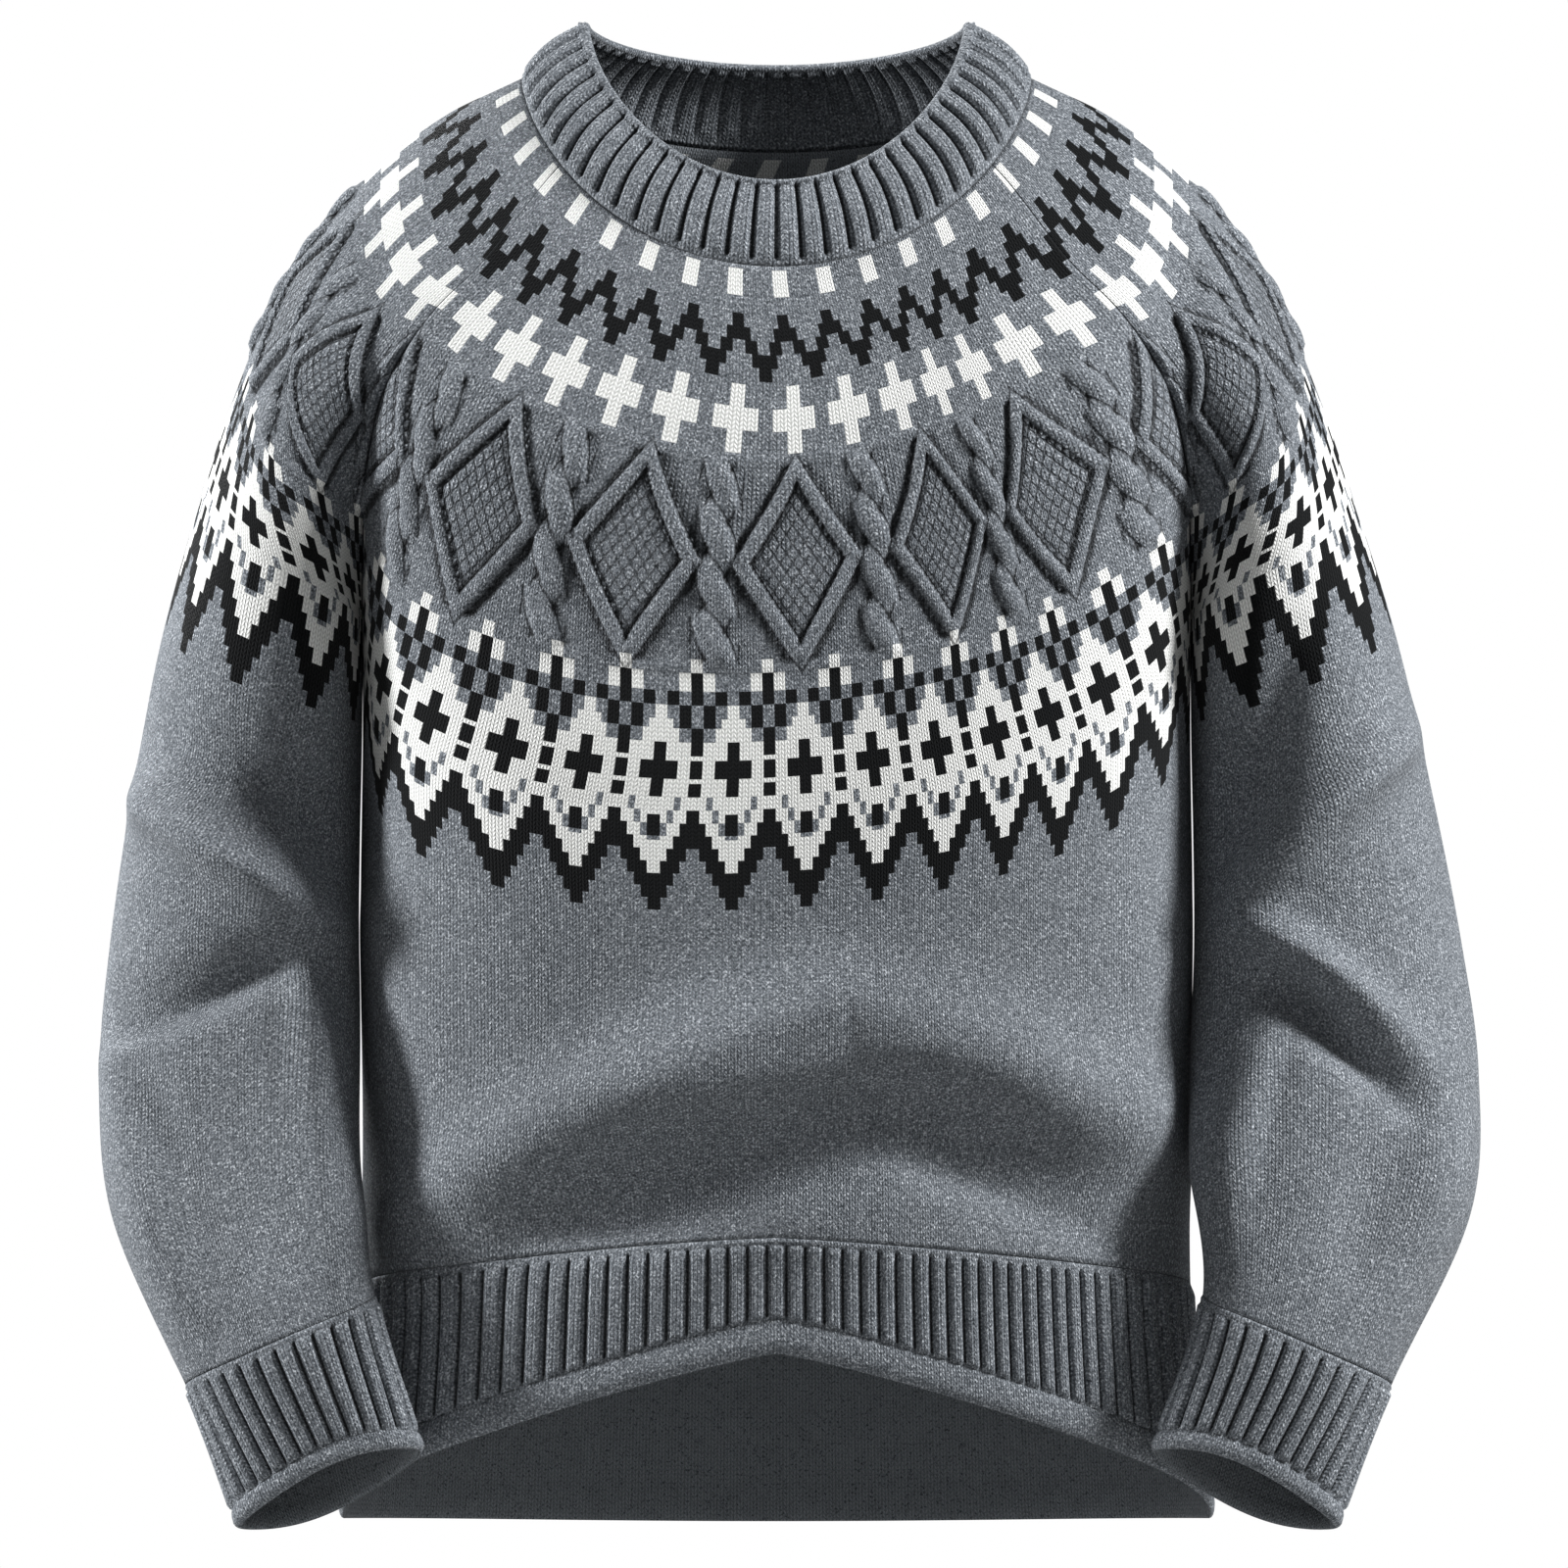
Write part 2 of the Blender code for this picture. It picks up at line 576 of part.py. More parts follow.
def build_panels(collection, material):
    """Front, back and both sleeves, whose edges share the normals of the seams between them."""
    body_rows = YOKE_ROWS + BAND_ROWS + ARMHOLE_ROWS + BODY_ROWS
    sleeve_rows = YOKE_ROWS + BAND_ROWS + ARMHOLE_ROWS + SLEEVE_ROWS
    underarm_row = body_rows.index(UNDERARM)
    front_across = np.linspace(-1, 1, FRONT_COLUMNS + 1)
    back_across = np.linspace(-1, 1, BACK_COLUMNS + 1)
    around = np.linspace(0, 1, SLEEVE_COLUMNS + 1)
    front, front_normals = panel_grid(body_panel(-1), body_rows, front_across, 1)
    back, back_normals = panel_grid(body_panel(1), body_rows, back_across, -1)
    sleeves = {}
    sleeve_normals = {}
    for side in (-1, 1):
        sleeves[side], sleeve_normals[side] = panel_grid(sleeve_panel(side), sleeve_rows, around, side)
    front_normals[0] = neck_normal(body_angles(-1, front_across))
    back_normals[0] = neck_normal(body_angles(1, back_across))
    for side in (-1, 1):
        sleeve_normals[side][0] = neck_normal(sleeve_angles(side, around))
    seams = []
    for side in (-1, 1):
        close_ring(sleeves[side], sleeve_normals[side], underarm_row)
        edge = 0 if side < 0 else -1
        beside = 1 if side < 0 else -2
        raglan = slice(0, underarm_row + 1)
        below = slice(underarm_row, None)
        front_shared = seam_frame(front[raglan, edge], sleeves[side][raglan, 0],
                                  front[raglan, beside], sleeves[side][raglan, 1],
                                  front_normals[raglan, edge], sleeve_normals[side][raglan, 0])
        back_shared = seam_frame(back[raglan, edge], sleeves[side][raglan, -1],
                                 back[raglan, beside], sleeves[side][raglan, -2],
                                 back_normals[raglan, edge], sleeve_normals[side][raglan, -1])
        side_shared = unit(front_normals[below, edge] + back_normals[below, edge])
        front_shared = np.concatenate([front_shared[:-1], side_shared])
        back_shared = np.concatenate([back_shared[:-1], side_shared])
        seams.append((side, edge, beside, front_shared, back_shared))
    for side, edge, beside, front_shared, back_shared in seams:
        settle_edge(front, front_normals, front_shared, edge, beside)
        settle_edge(back, back_normals, back_shared, edge, beside)
        points = sleeves[side][:underarm_row]
        normals = sleeve_normals[side][:underarm_row]
        settle_edge(points, normals, front_shared[:underarm_row], 0, 1)
        settle_edge(points, normals, back_shared[:underarm_row], -1, -2)
    yoke = [COARSE] * len(YOKE_ROWS) + [1] * len(BAND_ROWS)
    skip_in_band = set(range(len(YOKE_ROWS) + 1, len(YOKE_ROWS) + len(BAND_ROWS) - 1, 2))
    for name, points, normals, rows, columns, phase, outward, closed_from in (
            ("front", front, front_normals, body_rows, FRONT_COLUMNS, 0, 1, None),
            ("back", back, back_normals, body_rows, BACK_COLUMNS, 0, -1, None),
            ("sleeve_left", sleeves[-1], sleeve_normals[-1], sleeve_rows, SLEEVE_COLUMNS,
             REPEAT_COLUMNS // 2, -1, underarm_row),
            ("sleeve_right", sleeves[1], sleeve_normals[1], sleeve_rows, SLEEVE_COLUMNS,
             REPEAT_COLUMNS // 2, 1, underarm_row)):
        strides = yoke + [COARSE] * (len(rows) - len(yoke))
        inner_rows = [row for row in range(len(rows)) if row not in skip_in_band]
        make_wall(name, collection, material, add_folds(points, normals), normals,
                  panel_relief(rows, columns, phase), strides, inner_rows, [COARSE] * len(inner_rows),
                  outward, closed_from)


def band_rows(start, end):
    """Rows of a ribbed band from its seam to its rolled edge."""
    return [start + HALF_GAP, start + 5, end - WELT - 4, end - WELT, end - 0.6 * WELT, end]


def build_hem(collection, material):
    rows = band_rows(BODY_END, HEM_END)
    strides = [RIB_POINTS, 1, 1, RIB_POINTS, RIB_POINTS, RIB_POINTS]
    inner_rows = [0, 1, 3, 5]
    grids = []
    for facing, ribs in ((-1, RIBS_HEM_FRONT), (1, RIBS_HEM_BACK)):
        across = np.linspace(-1, 1, ribs * RIB_POINTS + 1)
        grids.append(panel_grid(body_panel(facing), rows, across, -facing))
    (front, front_normals), (back, back_normals) = grids
    for edge, beside in ((0, 1), (-1, -2)):
        shared = unit(front_normals[:, edge] + back_normals[:, edge])
        settle_edge(front, front_normals, shared, edge, beside)
        settle_edge(back, back_normals, shared, edge, beside)
    for name, points, normals, ribs, outward in (
            ("hem_front", front, front_normals, RIBS_HEM_FRONT, 1),
            ("hem_back", back, back_normals, RIBS_HEM_BACK, -1)):
        make_wall(name, collection, material, add_folds(points, normals), normals,
                  rib_relief(rows, ribs, (4, 6)), strides, inner_rows, [RIB_POINTS] * 4, outward)


def build_cuffs(collection, material):
    rows = band_rows(SLEEVE_END, CUFF_END)
    strides = [RIB_POINTS, 1, 1, RIB_POINTS, RIB_POINTS, RIB_POINTS]
    around = np.linspace(0, 1, RIBS_CUFF * RIB_POINTS + 1)
    for name, side in (("cuff_left", -1), ("cuff_right", 1)):
        points, normals = panel_grid(sleeve_panel(side), rows, around, side)
        close_ring(points, normals, 0)
        make_wall(name, collection, material, add_folds(points, normals), normals,
                  rib_relief(rows, RIBS_CUFF, (4, 6)), strides, [0, 1, 3, 5], [RIB_POINTS] * 4, side, 0)


def collar_panel(rows, angles):
    """The collar as a function of rows, from 0 at the seam to 1 at the rim, and of angles."""
    lower = ring_point(NECK, angles)
    upper = ring_point(RIM, angles)
    swell = neck_normal(angles) * COLLAR_BULGE
    return np.array([lower + (upper - lower) * place + swell * math.sin(math.pi * place) for place in rows])


def build_collar(collection, material):
    """Funnel collar from the neck seam up to its rim."""
    angles = np.linspace(0, 360, RIBS_COLLAR * RIB_POINTS + 1)
    points = collar_panel(COLLAR_ROWS, angles)
    up = np.gradient(points, axis=0)
    around = np.gradient(points, axis=1)
    normals = unit(np.cross(around, up))
    normals[0] = neck_normal(angles)
    points[0] += unit(points[1] - points[0]) * HALF_GAP
    close_ring(points, normals, 0)
    strides = [1, 1, 1, 1, RIB_POINTS]
    relief = np.zeros(points.shape[:2])
    relief[1:4] = np.where(np.arange(len(angles)) % RIB_POINTS == 0, 0.0, RIB_DEPTH)
    make_wall("collar", collection, material, points, normals, relief, strides, [0, 2, 4],
              [1, RIB_POINTS, RIB_POINTS], -1, 0)


def main():
    for old in list(bpy.data.objects):
        bpy.data.objects.remove(old)
    collection = bpy.data.collections.new("nordic_yoke_sweater")
    bpy.context.scene.collection.children.link(collection)
    knit = knit_colour("fine_knit_wool", KNIT_GREY)
    rib = knit_colour("ribbed_wool", RIB_GREY)
    build_panels(collection, knit)
    build_hem(collection, rib)
    build_cuffs(collection, rib)
    build_collar(collection, rib)


main()
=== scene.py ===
"""Nordic yoke sweater in fine heather wool, filled out with no wearer, on grey paper in white air.

Sizes are in millimetres until a mesh is made. X runs across the chest, the front faces -Y and Z is up.
Every knitted piece is a thin shell: a fine outer grid, which follows the stitches of the panels and
carries the cables, diamonds, ribs and folds, a plainer inner grid, and rims between the two.
"""
import math

import bpy
import numpy as np
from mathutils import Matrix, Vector


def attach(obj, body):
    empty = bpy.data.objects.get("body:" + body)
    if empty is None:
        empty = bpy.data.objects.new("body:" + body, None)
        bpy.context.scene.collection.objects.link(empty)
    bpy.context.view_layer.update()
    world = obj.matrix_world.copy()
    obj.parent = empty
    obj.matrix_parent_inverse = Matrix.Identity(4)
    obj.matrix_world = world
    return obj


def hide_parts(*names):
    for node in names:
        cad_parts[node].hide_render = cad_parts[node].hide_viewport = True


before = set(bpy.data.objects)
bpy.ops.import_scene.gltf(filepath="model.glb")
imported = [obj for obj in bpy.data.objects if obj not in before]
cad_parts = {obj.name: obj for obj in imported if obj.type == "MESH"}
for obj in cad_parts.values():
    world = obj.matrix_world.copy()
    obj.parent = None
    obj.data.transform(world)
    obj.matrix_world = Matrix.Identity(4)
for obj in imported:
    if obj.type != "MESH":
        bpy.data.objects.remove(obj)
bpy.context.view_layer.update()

MM = 0.001
WALL = 2.4
SEAM_GAP = 0.3
HALF_GAP = SEAM_GAP / 2

# Distances down the cloth from the neck seam, and depths of the collar and the rolled edges
CABLE_TOP = 90.0
CABLE_END = 180.0
UNDERARM = 245.0
BODY_END = 452.0
HEM_END = 512.0
HEM_WELT = 16.0
SLEEVE_END = 600.0
CUFF_END = 675.0
CUFF_WELT = 9.0
COLLAR_HEIGHT = 47.0
COLLAR_WELT = 5.0
COLLAR_PLAIN = 1.8

# Stitches: a repeat is one diamond and one cable; its stitches are wider above the middle of the cables
COARSE_STITCHES = 18
FINE_STITCHES = 30
FRONT_REPEATS = 6
BACK_REPEATS = 5
SLEEVE_REPEATS = 4
YOKE_ROWS = 120
ROW_HEIGHT = UNDERARM / YOKE_ROWS
STITCH_RELIEF = 0.5
# The inner grid has every third line of the outer one
INNER_COLUMNS = 3
INNER_ROWS = 3
# How many points away the mean height round a point is taken
HOLLOW_REACH = 2
# Points along a fold and along a row, and the steps over which the slope of a panel is measured
FOLD_POINTS = 97
PATH_POINTS = 65
ACROSS_STEP = 0.004
DOWN_STEP = 1.5
# Height of a fold at its ends, as a part of its height in the middle
FOLD_ENDS = 0.35

# Neck seam and collar rim: half-width, reach to the front and back, and the heights there
NECK = {"side": 117.0, "front": 95.0, "back": 78.0, "z_side": 9.0, "z_front": -81.0, "z_back": -20.0}
RIM = {"side": 86.0, "front": 74.0, "back": 55.0, "z_side": 34.0, "z_front": -41.0, "z_back": 18.0}
NECK_FRONT_ANGLE = 57.0
NECK_BACK_ANGLE = 127.0
NECK_TILT = 0.75
NECK_DIP = 1.25
NECK_BLEND = 60.0
COLLAR_BULGE = 4.0


def curve(names, rows):
    """Return a function that gives each named column of a table as a smooth function of the first."""
    data = np.array(rows, dtype=float)
    places = data[:, 0]
    steps = np.diff(places)
    columns = {}
    for name, values in zip(names.split()[1:], data.T[1:]):
        slopes = np.diff(values) / steps
        tangents = np.append(slopes[0], slopes)
        tangents[1:-1] = (slopes[:-1] * steps[1:] + slopes[1:] * steps[:-1]) / (steps[:-1] + steps[1:])
        columns[name] = (values, tangents)

    def at(v):
        """Columns of the table at v, by name; beyond its ends they stay as they are there."""
        v = np.clip(v, places[0], places[-1])
        k = np.clip(np.searchsorted(places, v, side="right") - 1, 0, len(steps) - 1)
        h = steps[k]
        t = (v - places[k]) / h
        return {name: ((2 * t**3 - 3 * t**2 + 1) * values[k] + (t**3 - 2 * t**2 + t) * h * tangents[k]
                       + (3 * t**2 - 2 * t**3) * values[k + 1] + (t**3 - t**2) * h * tangents[k + 1])
                for name, (values, tangents) in columns.items()}

    return at


# Raglan seams, one row for each place down the seam
raglan_front = curve("v x y z", [
    (0, 98, -52, -44),
    (40, 127, -66, -73),
    (80, 157, -72, -102),
    (118, 178, -68, -134),
    (155, 186, -55, -168),
    (200, 189, -32, -208),
    (UNDERARM, 190, 0, -240),
])
raglan_back = curve("v x y z", [
    (0, 93, 47, -10),
    (40, 124, 66, -32),
    (80, 152, 76, -62),
    (118, 174, 76, -98),
    (155, 185, 64, -140),
    (200, 189, 36, -195),
    (UNDERARM, 190, 0, -240),
])

# Side seams, below the underarm
side_seam = curve("v x y z", [
    (UNDERARM, 190, 0, -240),
    (300, 190, 0, -292),
    (370, 191, 0, -390),
    (410, 190, 0, -460),
    (BODY_END, 190, 0, -545),
    (HEM_END, 200, 0, -652),
])

# Body sections: height and depth at the centre, how the row bows up to its edge, the direction in which
# it meets the seam (0 straight out, 90 straight back) and the roundness at the centre and the edge
front_row = curve("v z_mid depth bow turn round_mid round_edge", [
    (0, -81, 95, 1.2, 40, 52, 30),
    (70, -151, 113, 1.6, 30, 80, 40),
    (110, -191, 119, 1.8, 50, 95, 35),
    (155, -236, 123, 2.0, 80, 110, 30),
    (200, -281, 126, 2.2, 86, 118, 55),
    (UNDERARM, -326, 127, 2.3, 90, 122, 85),
    (300, -376, 126, 2.4, 90, 122, 84),
    (370, -438, 122, 2.4, 90, 122, 82),
    (BODY_END, -519, 116, 1.25, 90, 120, 78),
    (HEM_END, -572, 112, 1.2, 90, 122, 74),
])
back_row = curve("v z_mid depth bow turn round_mid round_edge", [
    (0, -20, 78, 1.2, 40, 50, 26),
    (70, -86, 101, 1.6, 34, 78, 36),
    (110, -124, 108, 1.8, 55, 95, 34),
    (155, -168, 112, 2.0, 78, 108, 32),
    (200, -214, 113, 2.2, 86, 116, 55),
    (UNDERARM, -262, 112, 2.3, 90, 120, 78),
    (300, -322, 108, 2.4, 90, 120, 76),
    (370, -410, 102, 2.4, 90, 120, 72),
    (BODY_END, -553, 100, 2.0, 90, 120, 68),
    (HEM_END, -659, 98, 2.0, 90, 124, 66),
])

# Sleeve sections down to the underarm: the outermost point, and how the row leaves either raglan seam
# (0 straight out, negative towards the outside of the crease) with the roundness at seam and outermost
sleeve_cap = curve("v x y z lead_front lead_back round_seam round_front round_back", [
    (0, 117, 5, 9, 62, 62, 22, 20, 18),
    (40, 151, 5, -7, 48, 48, 30, 30, 28),
    (80, 185, 5, -33, 25, 28, 38, 40, 38),
    (118, 211, 4, -63, -8, 0, 42, 52, 50),
    (155, 231, 3, -94, -42, -35, 50, 66, 62),
    (200, 248, 3, -134, -72, -66, 74, 82, 76),
    (UNDERARM, 263, 3, -178, -90, -90, 96, 96, 90),
])
# Closed sleeve sections: the innermost and outermost points and the depths in front and behind
sleeve_tube = curve("v in_x in_y in_z out_x out_y out_z front back", [
    (UNDERARM, 190, 0, -240, 263, 3, -178, 96, 90),
    (300, 190.2, -3, -292, 283, 4, -246, 92, 88),
    (360, 191, -10, -342, 298, 4, -318, 86, 84),
    (420, 191.1, -18, -386, 309, 2, -388, 80, 80),
    (480, 189.4, -34, -438, 314, -12, -446, 76, 74),
    (540, 189, -56, -492, 308, -40, -512, 66, 66),
    (SLEEVE_END, 187, -84, -546, 273, -70, -588, 46, 52),
    (CUFF_END, 165, -98, -616, 248, -88, -652, 24, 26),
])
# How far the left and the right sleeve lie out from these places, at their inner and outer points
side_shift = curve("v in_left in_right out_left out_right", [
    (UNDERARM, 0, 0, 0, 0),
    (360, 0, 0, -2, 3),
    (430, 0, 0, -3, 6),
    (540, 0, 0.5, -5, 8),
    (SLEEVE_END, -5, 6, -5, 6),
    (CUFF_END, -5, 5, -5, 5),
])
# The cuffs gape: the front edge is pushed up and the back edge hangs lower
cuff_gape = curve("v lift", [(0, 0), (SLEEVE_END, 0), (CUFF_END, 11)])
# Rows of the yoke lie a little lower on the left
yoke_tilt = curve("v drop", [(0, 0), (90, 5), (240, 14), (380, 8), (BODY_END, 0), (HEM_END, 0)])

# How far the front's pattern lies off its even places across the chest, above and at the border
pattern_lie = curve("place upper lower", [
    (-1, 0, 0),
    (-0.8, -0.02, -0.02),
    (-0.667, -0.02, 0),
    (-0.5, -0.01, 0.04),
    (-0.333, 0.005, 0.05),
    (0, 0.05, 0.052),
    (0.333, 0.045, 0.015),
    (0.5, 0, -0.02),
    (0.667, -0.04, -0.045),
    (0.8, -0.03, -0.03),
    (1, 0, 0),
])
LIE_ROWS = (135, 235)

# Folds, a row each: the side of the garment (-1 front, 1 back), x and z of three points of the crest or
# the bottom of the trough, the half-width, and the height (troughs are negative)
FOLDS = [
    (-1, -168, -512, -60, -448, 32, -416, 23, 19),
    (-1, 32, -416, 105, -440, 188, -486, 24, 15),
    (-1, -115, -516, -30, -493, 45, -464, 21, -14),
    (-1, 45, -464, 95, -486, 150, -510, 21, -12),
    (-1, -30, -512, 5, -506, 40, -512, 20, 5),
    (-1, -184, -60, -185, -98, -187, -138, 15, -6),
    (-1, 184, -60, 185, -98, 187, -138, 15, -6),
    (-1, -283, -297, -225, -322, -190, -352, 18, -9),
    (-1, -297, -315, -247, -348, -206, -382, 14, 13),
    (-1, -310, -421, -256, -405, -214, -389, 13, -9),
    (-1, -312, -427, -292, -472, -270, -570, 14, 8),
    (-1, -298, -440, -278, -482, -254, -560, 14, -8),
    (-1, -220, -396, -210, -472, -198, -528, 14, 8),
    (-1, -250, -440, -243, -500, -235, -550, 22, -7),
    (-1, 238, -234, 220, -304, 194, -354, 18, -9),
    (-1, 288, -288, 252, -324, 214, -371, 15, 12),
    (-1, 214, -378, 243, -398, 292, -443, 12, 12),
    (-1, 222, -398, 240, -414, 288, -458, 13, -9),
    (-1, 225, -432, 212, -472, 205, -525, 14, 8),
    (-1, 306, -450, 304, -485, 298, -515, 14, 6),
    (-1, 275, -470, 268, -510, 255, -550, 20, -7),
    (1, -160, -500, -10, -452, 150, -508, 25, 12),
    (1, -120, -540, 10, -500, 125, -545, 23, -10),
    (1, -300, -335, -250, -352, -206, -380, 15, -8),
    (1, -306, -372, -255, -392, -212, -410, 13, 8),
    (1, 300, -325, 252, -348, 206, -376, 15, -8),
    (1, 306, -365, 256, -386, 212, -404, 13, 8),
    (1, -290, -470, -262, -510, -240, -560, 18, -6),
    (1, 290, -465, 266, -508, 246, -560, 18, -6),
]

# Creases too fine for the solids, set beside the folds in the same way
CREASES = [
    (-1, -120, -526, -40, -503, 40, -478, 9, -5),
    (-1, 40, -476, 100, -500, 160, -524, 8, -3),
    (-1, -70, -466, 5, -444, 70, -438, 12, 5),
    (-1, -172, -330, -174, -400, -152, -470, 20, 3),
    (-1, 168, -330, 172, -410, 150, -500, 20, 3),
    (-1, -302, -318, -252, -346, -208, -376, 9, 6),
    (-1, -306, -430, -258, -411, -216, -396, 7, -7),
    (-1, -270, -290, -225, -312, -190, -336, 22, -7),
    (-1, -214, -392, -212, -420, -206, -450, 7, 4),
    (-1, -226, -400, -224, -440, -214, -490, 6, -3),
    (-1, 296, -290, 252, -322, 212, -364, 9, 6),
    (-1, 224, -404, 246, -420, 290, -462, 7, -7),
    (-1, 218, -380, 246, -396, 290, -438, 8, 5),
    (-1, 240, -250, 214, -296, 192, -336, 20, -7),
    (-1, 236, -420, 226, -460, 216, -510, 6, -3),
    (1, -110, -300, 0, -330, 120, -305, 20, -4),
    (1, -140, -470, -20, -430, 130, -476, 11, 4),
    (1, -296, -346, -250, -366, -206, -394, 7, -5),
    (1, 298, -338, 252, -362, 208, -390, 7, -5),
]

# Tables of the front (-1) and the back (1), and the column beside each edge of a panel
BODY_ROW = {-1: front_row, 1: back_row}
RAGLAN = {-1: raglan_front, 1: raglan_back}
BESIDE = {0: 1, -1: -2}

# Studio, in metres and watts, and the camera's lens and sensor in millimetres
FLOOR_Z = -0.74
FLOOR_SIZE = (2.4, 1.7, 1.0)
MIDDLE_Z = -0.315
CAMERA_PLACE = (0.0034, -6.0, MIDDLE_Z)
LENS = 300.0
SENSOR = 36.0
AIR_STRENGTH = 0.12
# Lights: name, place, width, height and watts
LIGHTS = [
    ("key_right", 2.8, -0.9, 1.6, 0.8, 0.8, 265),
    ("edge_left", -3.0, -0.32, 0.8, 0.5, 1.0, 195),
    ("fill_front", 0.0, -2.6, 1.6, 0.6, 0.6, 10),
    ("key_back", -1.6, 2.4, 1.7, 1.0, 1.0, 160),
]


def unit(vectors):
    """Vectors of the same directions and a length of 1."""
    return vectors / np.linalg.norm(vectors, axis=-1, keepdims=True)


def smooth_step(low, high, value):
    """Value eased from 0 at low to 1 at high, and held beyond them."""
    t = np.clip((value - low) / (high - low), 0.0, 1.0)
    return t * t * (3 - 2 * t)


def ring_point(ring, angle):
    """Point of the neck seam or the collar rim; the angle is 0 in front and 90 degrees at the +X side."""
    a = np.radians(angle)
    cos = np.cos(a)
    in_front = cos > 0
    depth = np.where(in_front, ring["front"], ring["back"])
    z_mid = np.where(in_front, ring["z_front"], ring["z_back"])
    x = ring["side"] * np.sin(a)
    y = -depth * cos
    z = ring["z_side"] + (z_mid - ring["z_side"]) * np.abs(cos) ** NECK_DIP
    return np.stack([x, y, z], axis=-1)


def neck_normal(angles):
    """Outward direction at the neck seam, shared by the collar and the panels below it."""
    a = np.radians(angles)
    return unit(np.stack([np.sin(a), -np.cos(a), np.full_like(a, NECK_TILT)], axis=-1))


def bezier(ends, fractions):
    """Points at even distances along a cubic curve with the four given control points."""
    t = np.linspace(0, 1, PATH_POINTS)[:, None]
    p0, p1, p2, p3 = ends
    path = (1 - t) ** 3 * p0 + 3 * t * (1 - t) ** 2 * p1 + 3 * t * t * (1 - t) * p2 + t**3 * p3
    length = np.concatenate([[0], np.cumsum(np.linalg.norm(np.diff(path, axis=0), axis=1))])
    length /= length[-1]
    return np.stack([np.interp(fractions, length, path[:, k]) for k in range(path.shape[1])], axis=-1)


def body_row(facing, v, fractions):
    """Row of the front (facing -1) or back (facing 1); the fractions run from -1 to 1 across it."""
    row = BODY_ROW[facing](v)
    edge = RAGLAN[facing](v) if v <= UNDERARM else side_seam(v)
    turn = math.radians(row["turn"])
    middle = np.array([0.0, facing * row["depth"]])
    corner = np.array([edge["x"], edge["y"]])
    lead = np.array([math.cos(turn), -facing * math.sin(turn)])
    out = np.array([row["round_mid"], 0.0])
    if facing < 0:
        lie = pattern_lie(fractions)
        fractions = fractions + lie["upper"] + (lie["lower"] - lie["upper"]) * smooth_step(*LIE_ROWS, v)
    across = np.abs(fractions)
    plan = bezier((middle, middle + out, corner - lead * row["round_edge"], corner), across)
    side = np.where(fractions < 0, -1.0, 1.0)
    z = row["z_mid"] + (edge["z"] - row["z_mid"]) * across ** row["bow"]
    points = np.stack([side * plan[:, 0], plan[:, 1], z], axis=-1)
    points[:, 2] += yoke_tilt(v)["drop"] * fractions * (1 - smooth_step(0.8, 1.0, across))
    return points


def sleeve_row(side, v, fractions):
    """Row of a sleeve on one side (-1 or 1); the fractions run from the front seam round to the back."""
    front_half = fractions <= 0.5
    across = np.where(front_half, fractions * 2, 2 - fractions * 2)
    points = np.empty((len(fractions), 3))
    tube = sleeve_tube(v)
    shift = side_shift(v)
    hand = "left" if side < 0 else "right"
    for half, facing, name in ((front_half, -1, "front"), (~front_half, 1, "back")):
        if v <= UNDERARM:
            inner = RAGLAN[facing](v)
            outer = sleeve_cap(v)
            lead = math.radians(outer["lead_" + name])
            leave = np.array([math.cos(lead), -facing * math.sin(lead)]) * outer["round_seam"]
            arrive = np.array([0.0, facing * outer["round_" + name]])
        else:
            inner = {"x": tube["in_x"] + shift["in_" + hand], "y": tube["in_y"], "z": tube["in_z"]}
            outer = {"x": tube["out_x"] + shift["out_" + hand], "y": tube["out_y"], "z": tube["out_z"]}
            leave = np.array([0.0, facing * tube[name]])
            arrive = leave
        start = np.array([inner["x"], inner["y"]])
        finish = np.array([outer["x"], outer["y"]])
        points[half, :2] = bezier((start, start + leave, finish + arrive, finish), across[half])
        rise = 0.5 - 0.5 * np.cos(math.pi * across[half])
        points[half, 2] = inner["z"] + (outer["z"] - inner["z"]) * (0.5 * rise + 0.5 * across[half])
    points[:, 2] += cuff_gape(v)["lift"] * np.sin(2 * math.pi * fractions)
    points[:, 0] *= side
    return points


def body_angles(facing, fractions):
    """Where the points of a front or back row lie round the neck."""
    if facing < 0:
        return NECK_FRONT_ANGLE * fractions
    return 180 - (180 - NECK_BACK_ANGLE) * fractions


def sleeve_angles(side, fractions):
    """Where the points of a sleeve row lie round the neck."""
    return side * (NECK_FRONT_ANGLE + (NECK_BACK_ANGLE - NECK_FRONT_ANGLE) * fractions)


def fold_height(points, normals, folds):
    """How far each point is moved along its normal by the folds."""
    total = np.zeros(points.shape[:-1])
    t = np.linspace(0, 1, FOLD_POINTS)
    for side, x1, z1, x2, z2, x3, z3, width, height in folds:
        x_pull = 2 * x2 - 0.5 * (x1 + x3)
        z_pull = 2 * z2 - 0.5 * (z1 + z3)
        x = (1 - t) ** 2 * x1 + 2 * t * (1 - t) * x_pull + t * t * x3
        z = (1 - t) ** 2 * z1 + 2 * t * (1 - t) * z_pull + t * t * z3
        reach = (points[..., 0, None] - x) ** 2 + (points[..., 2, None] - z) ** 2
        along = FOLD_ENDS + (1 - FOLD_ENDS) * np.sin(math.pi * t[reach.argmin(axis=-1)])
        faces_it = np.clip(2 * side * normals[..., 1], 0, 1)
        total += height * along * faces_it * np.exp(-reach.min(axis=-1) / width ** 2)
    return total


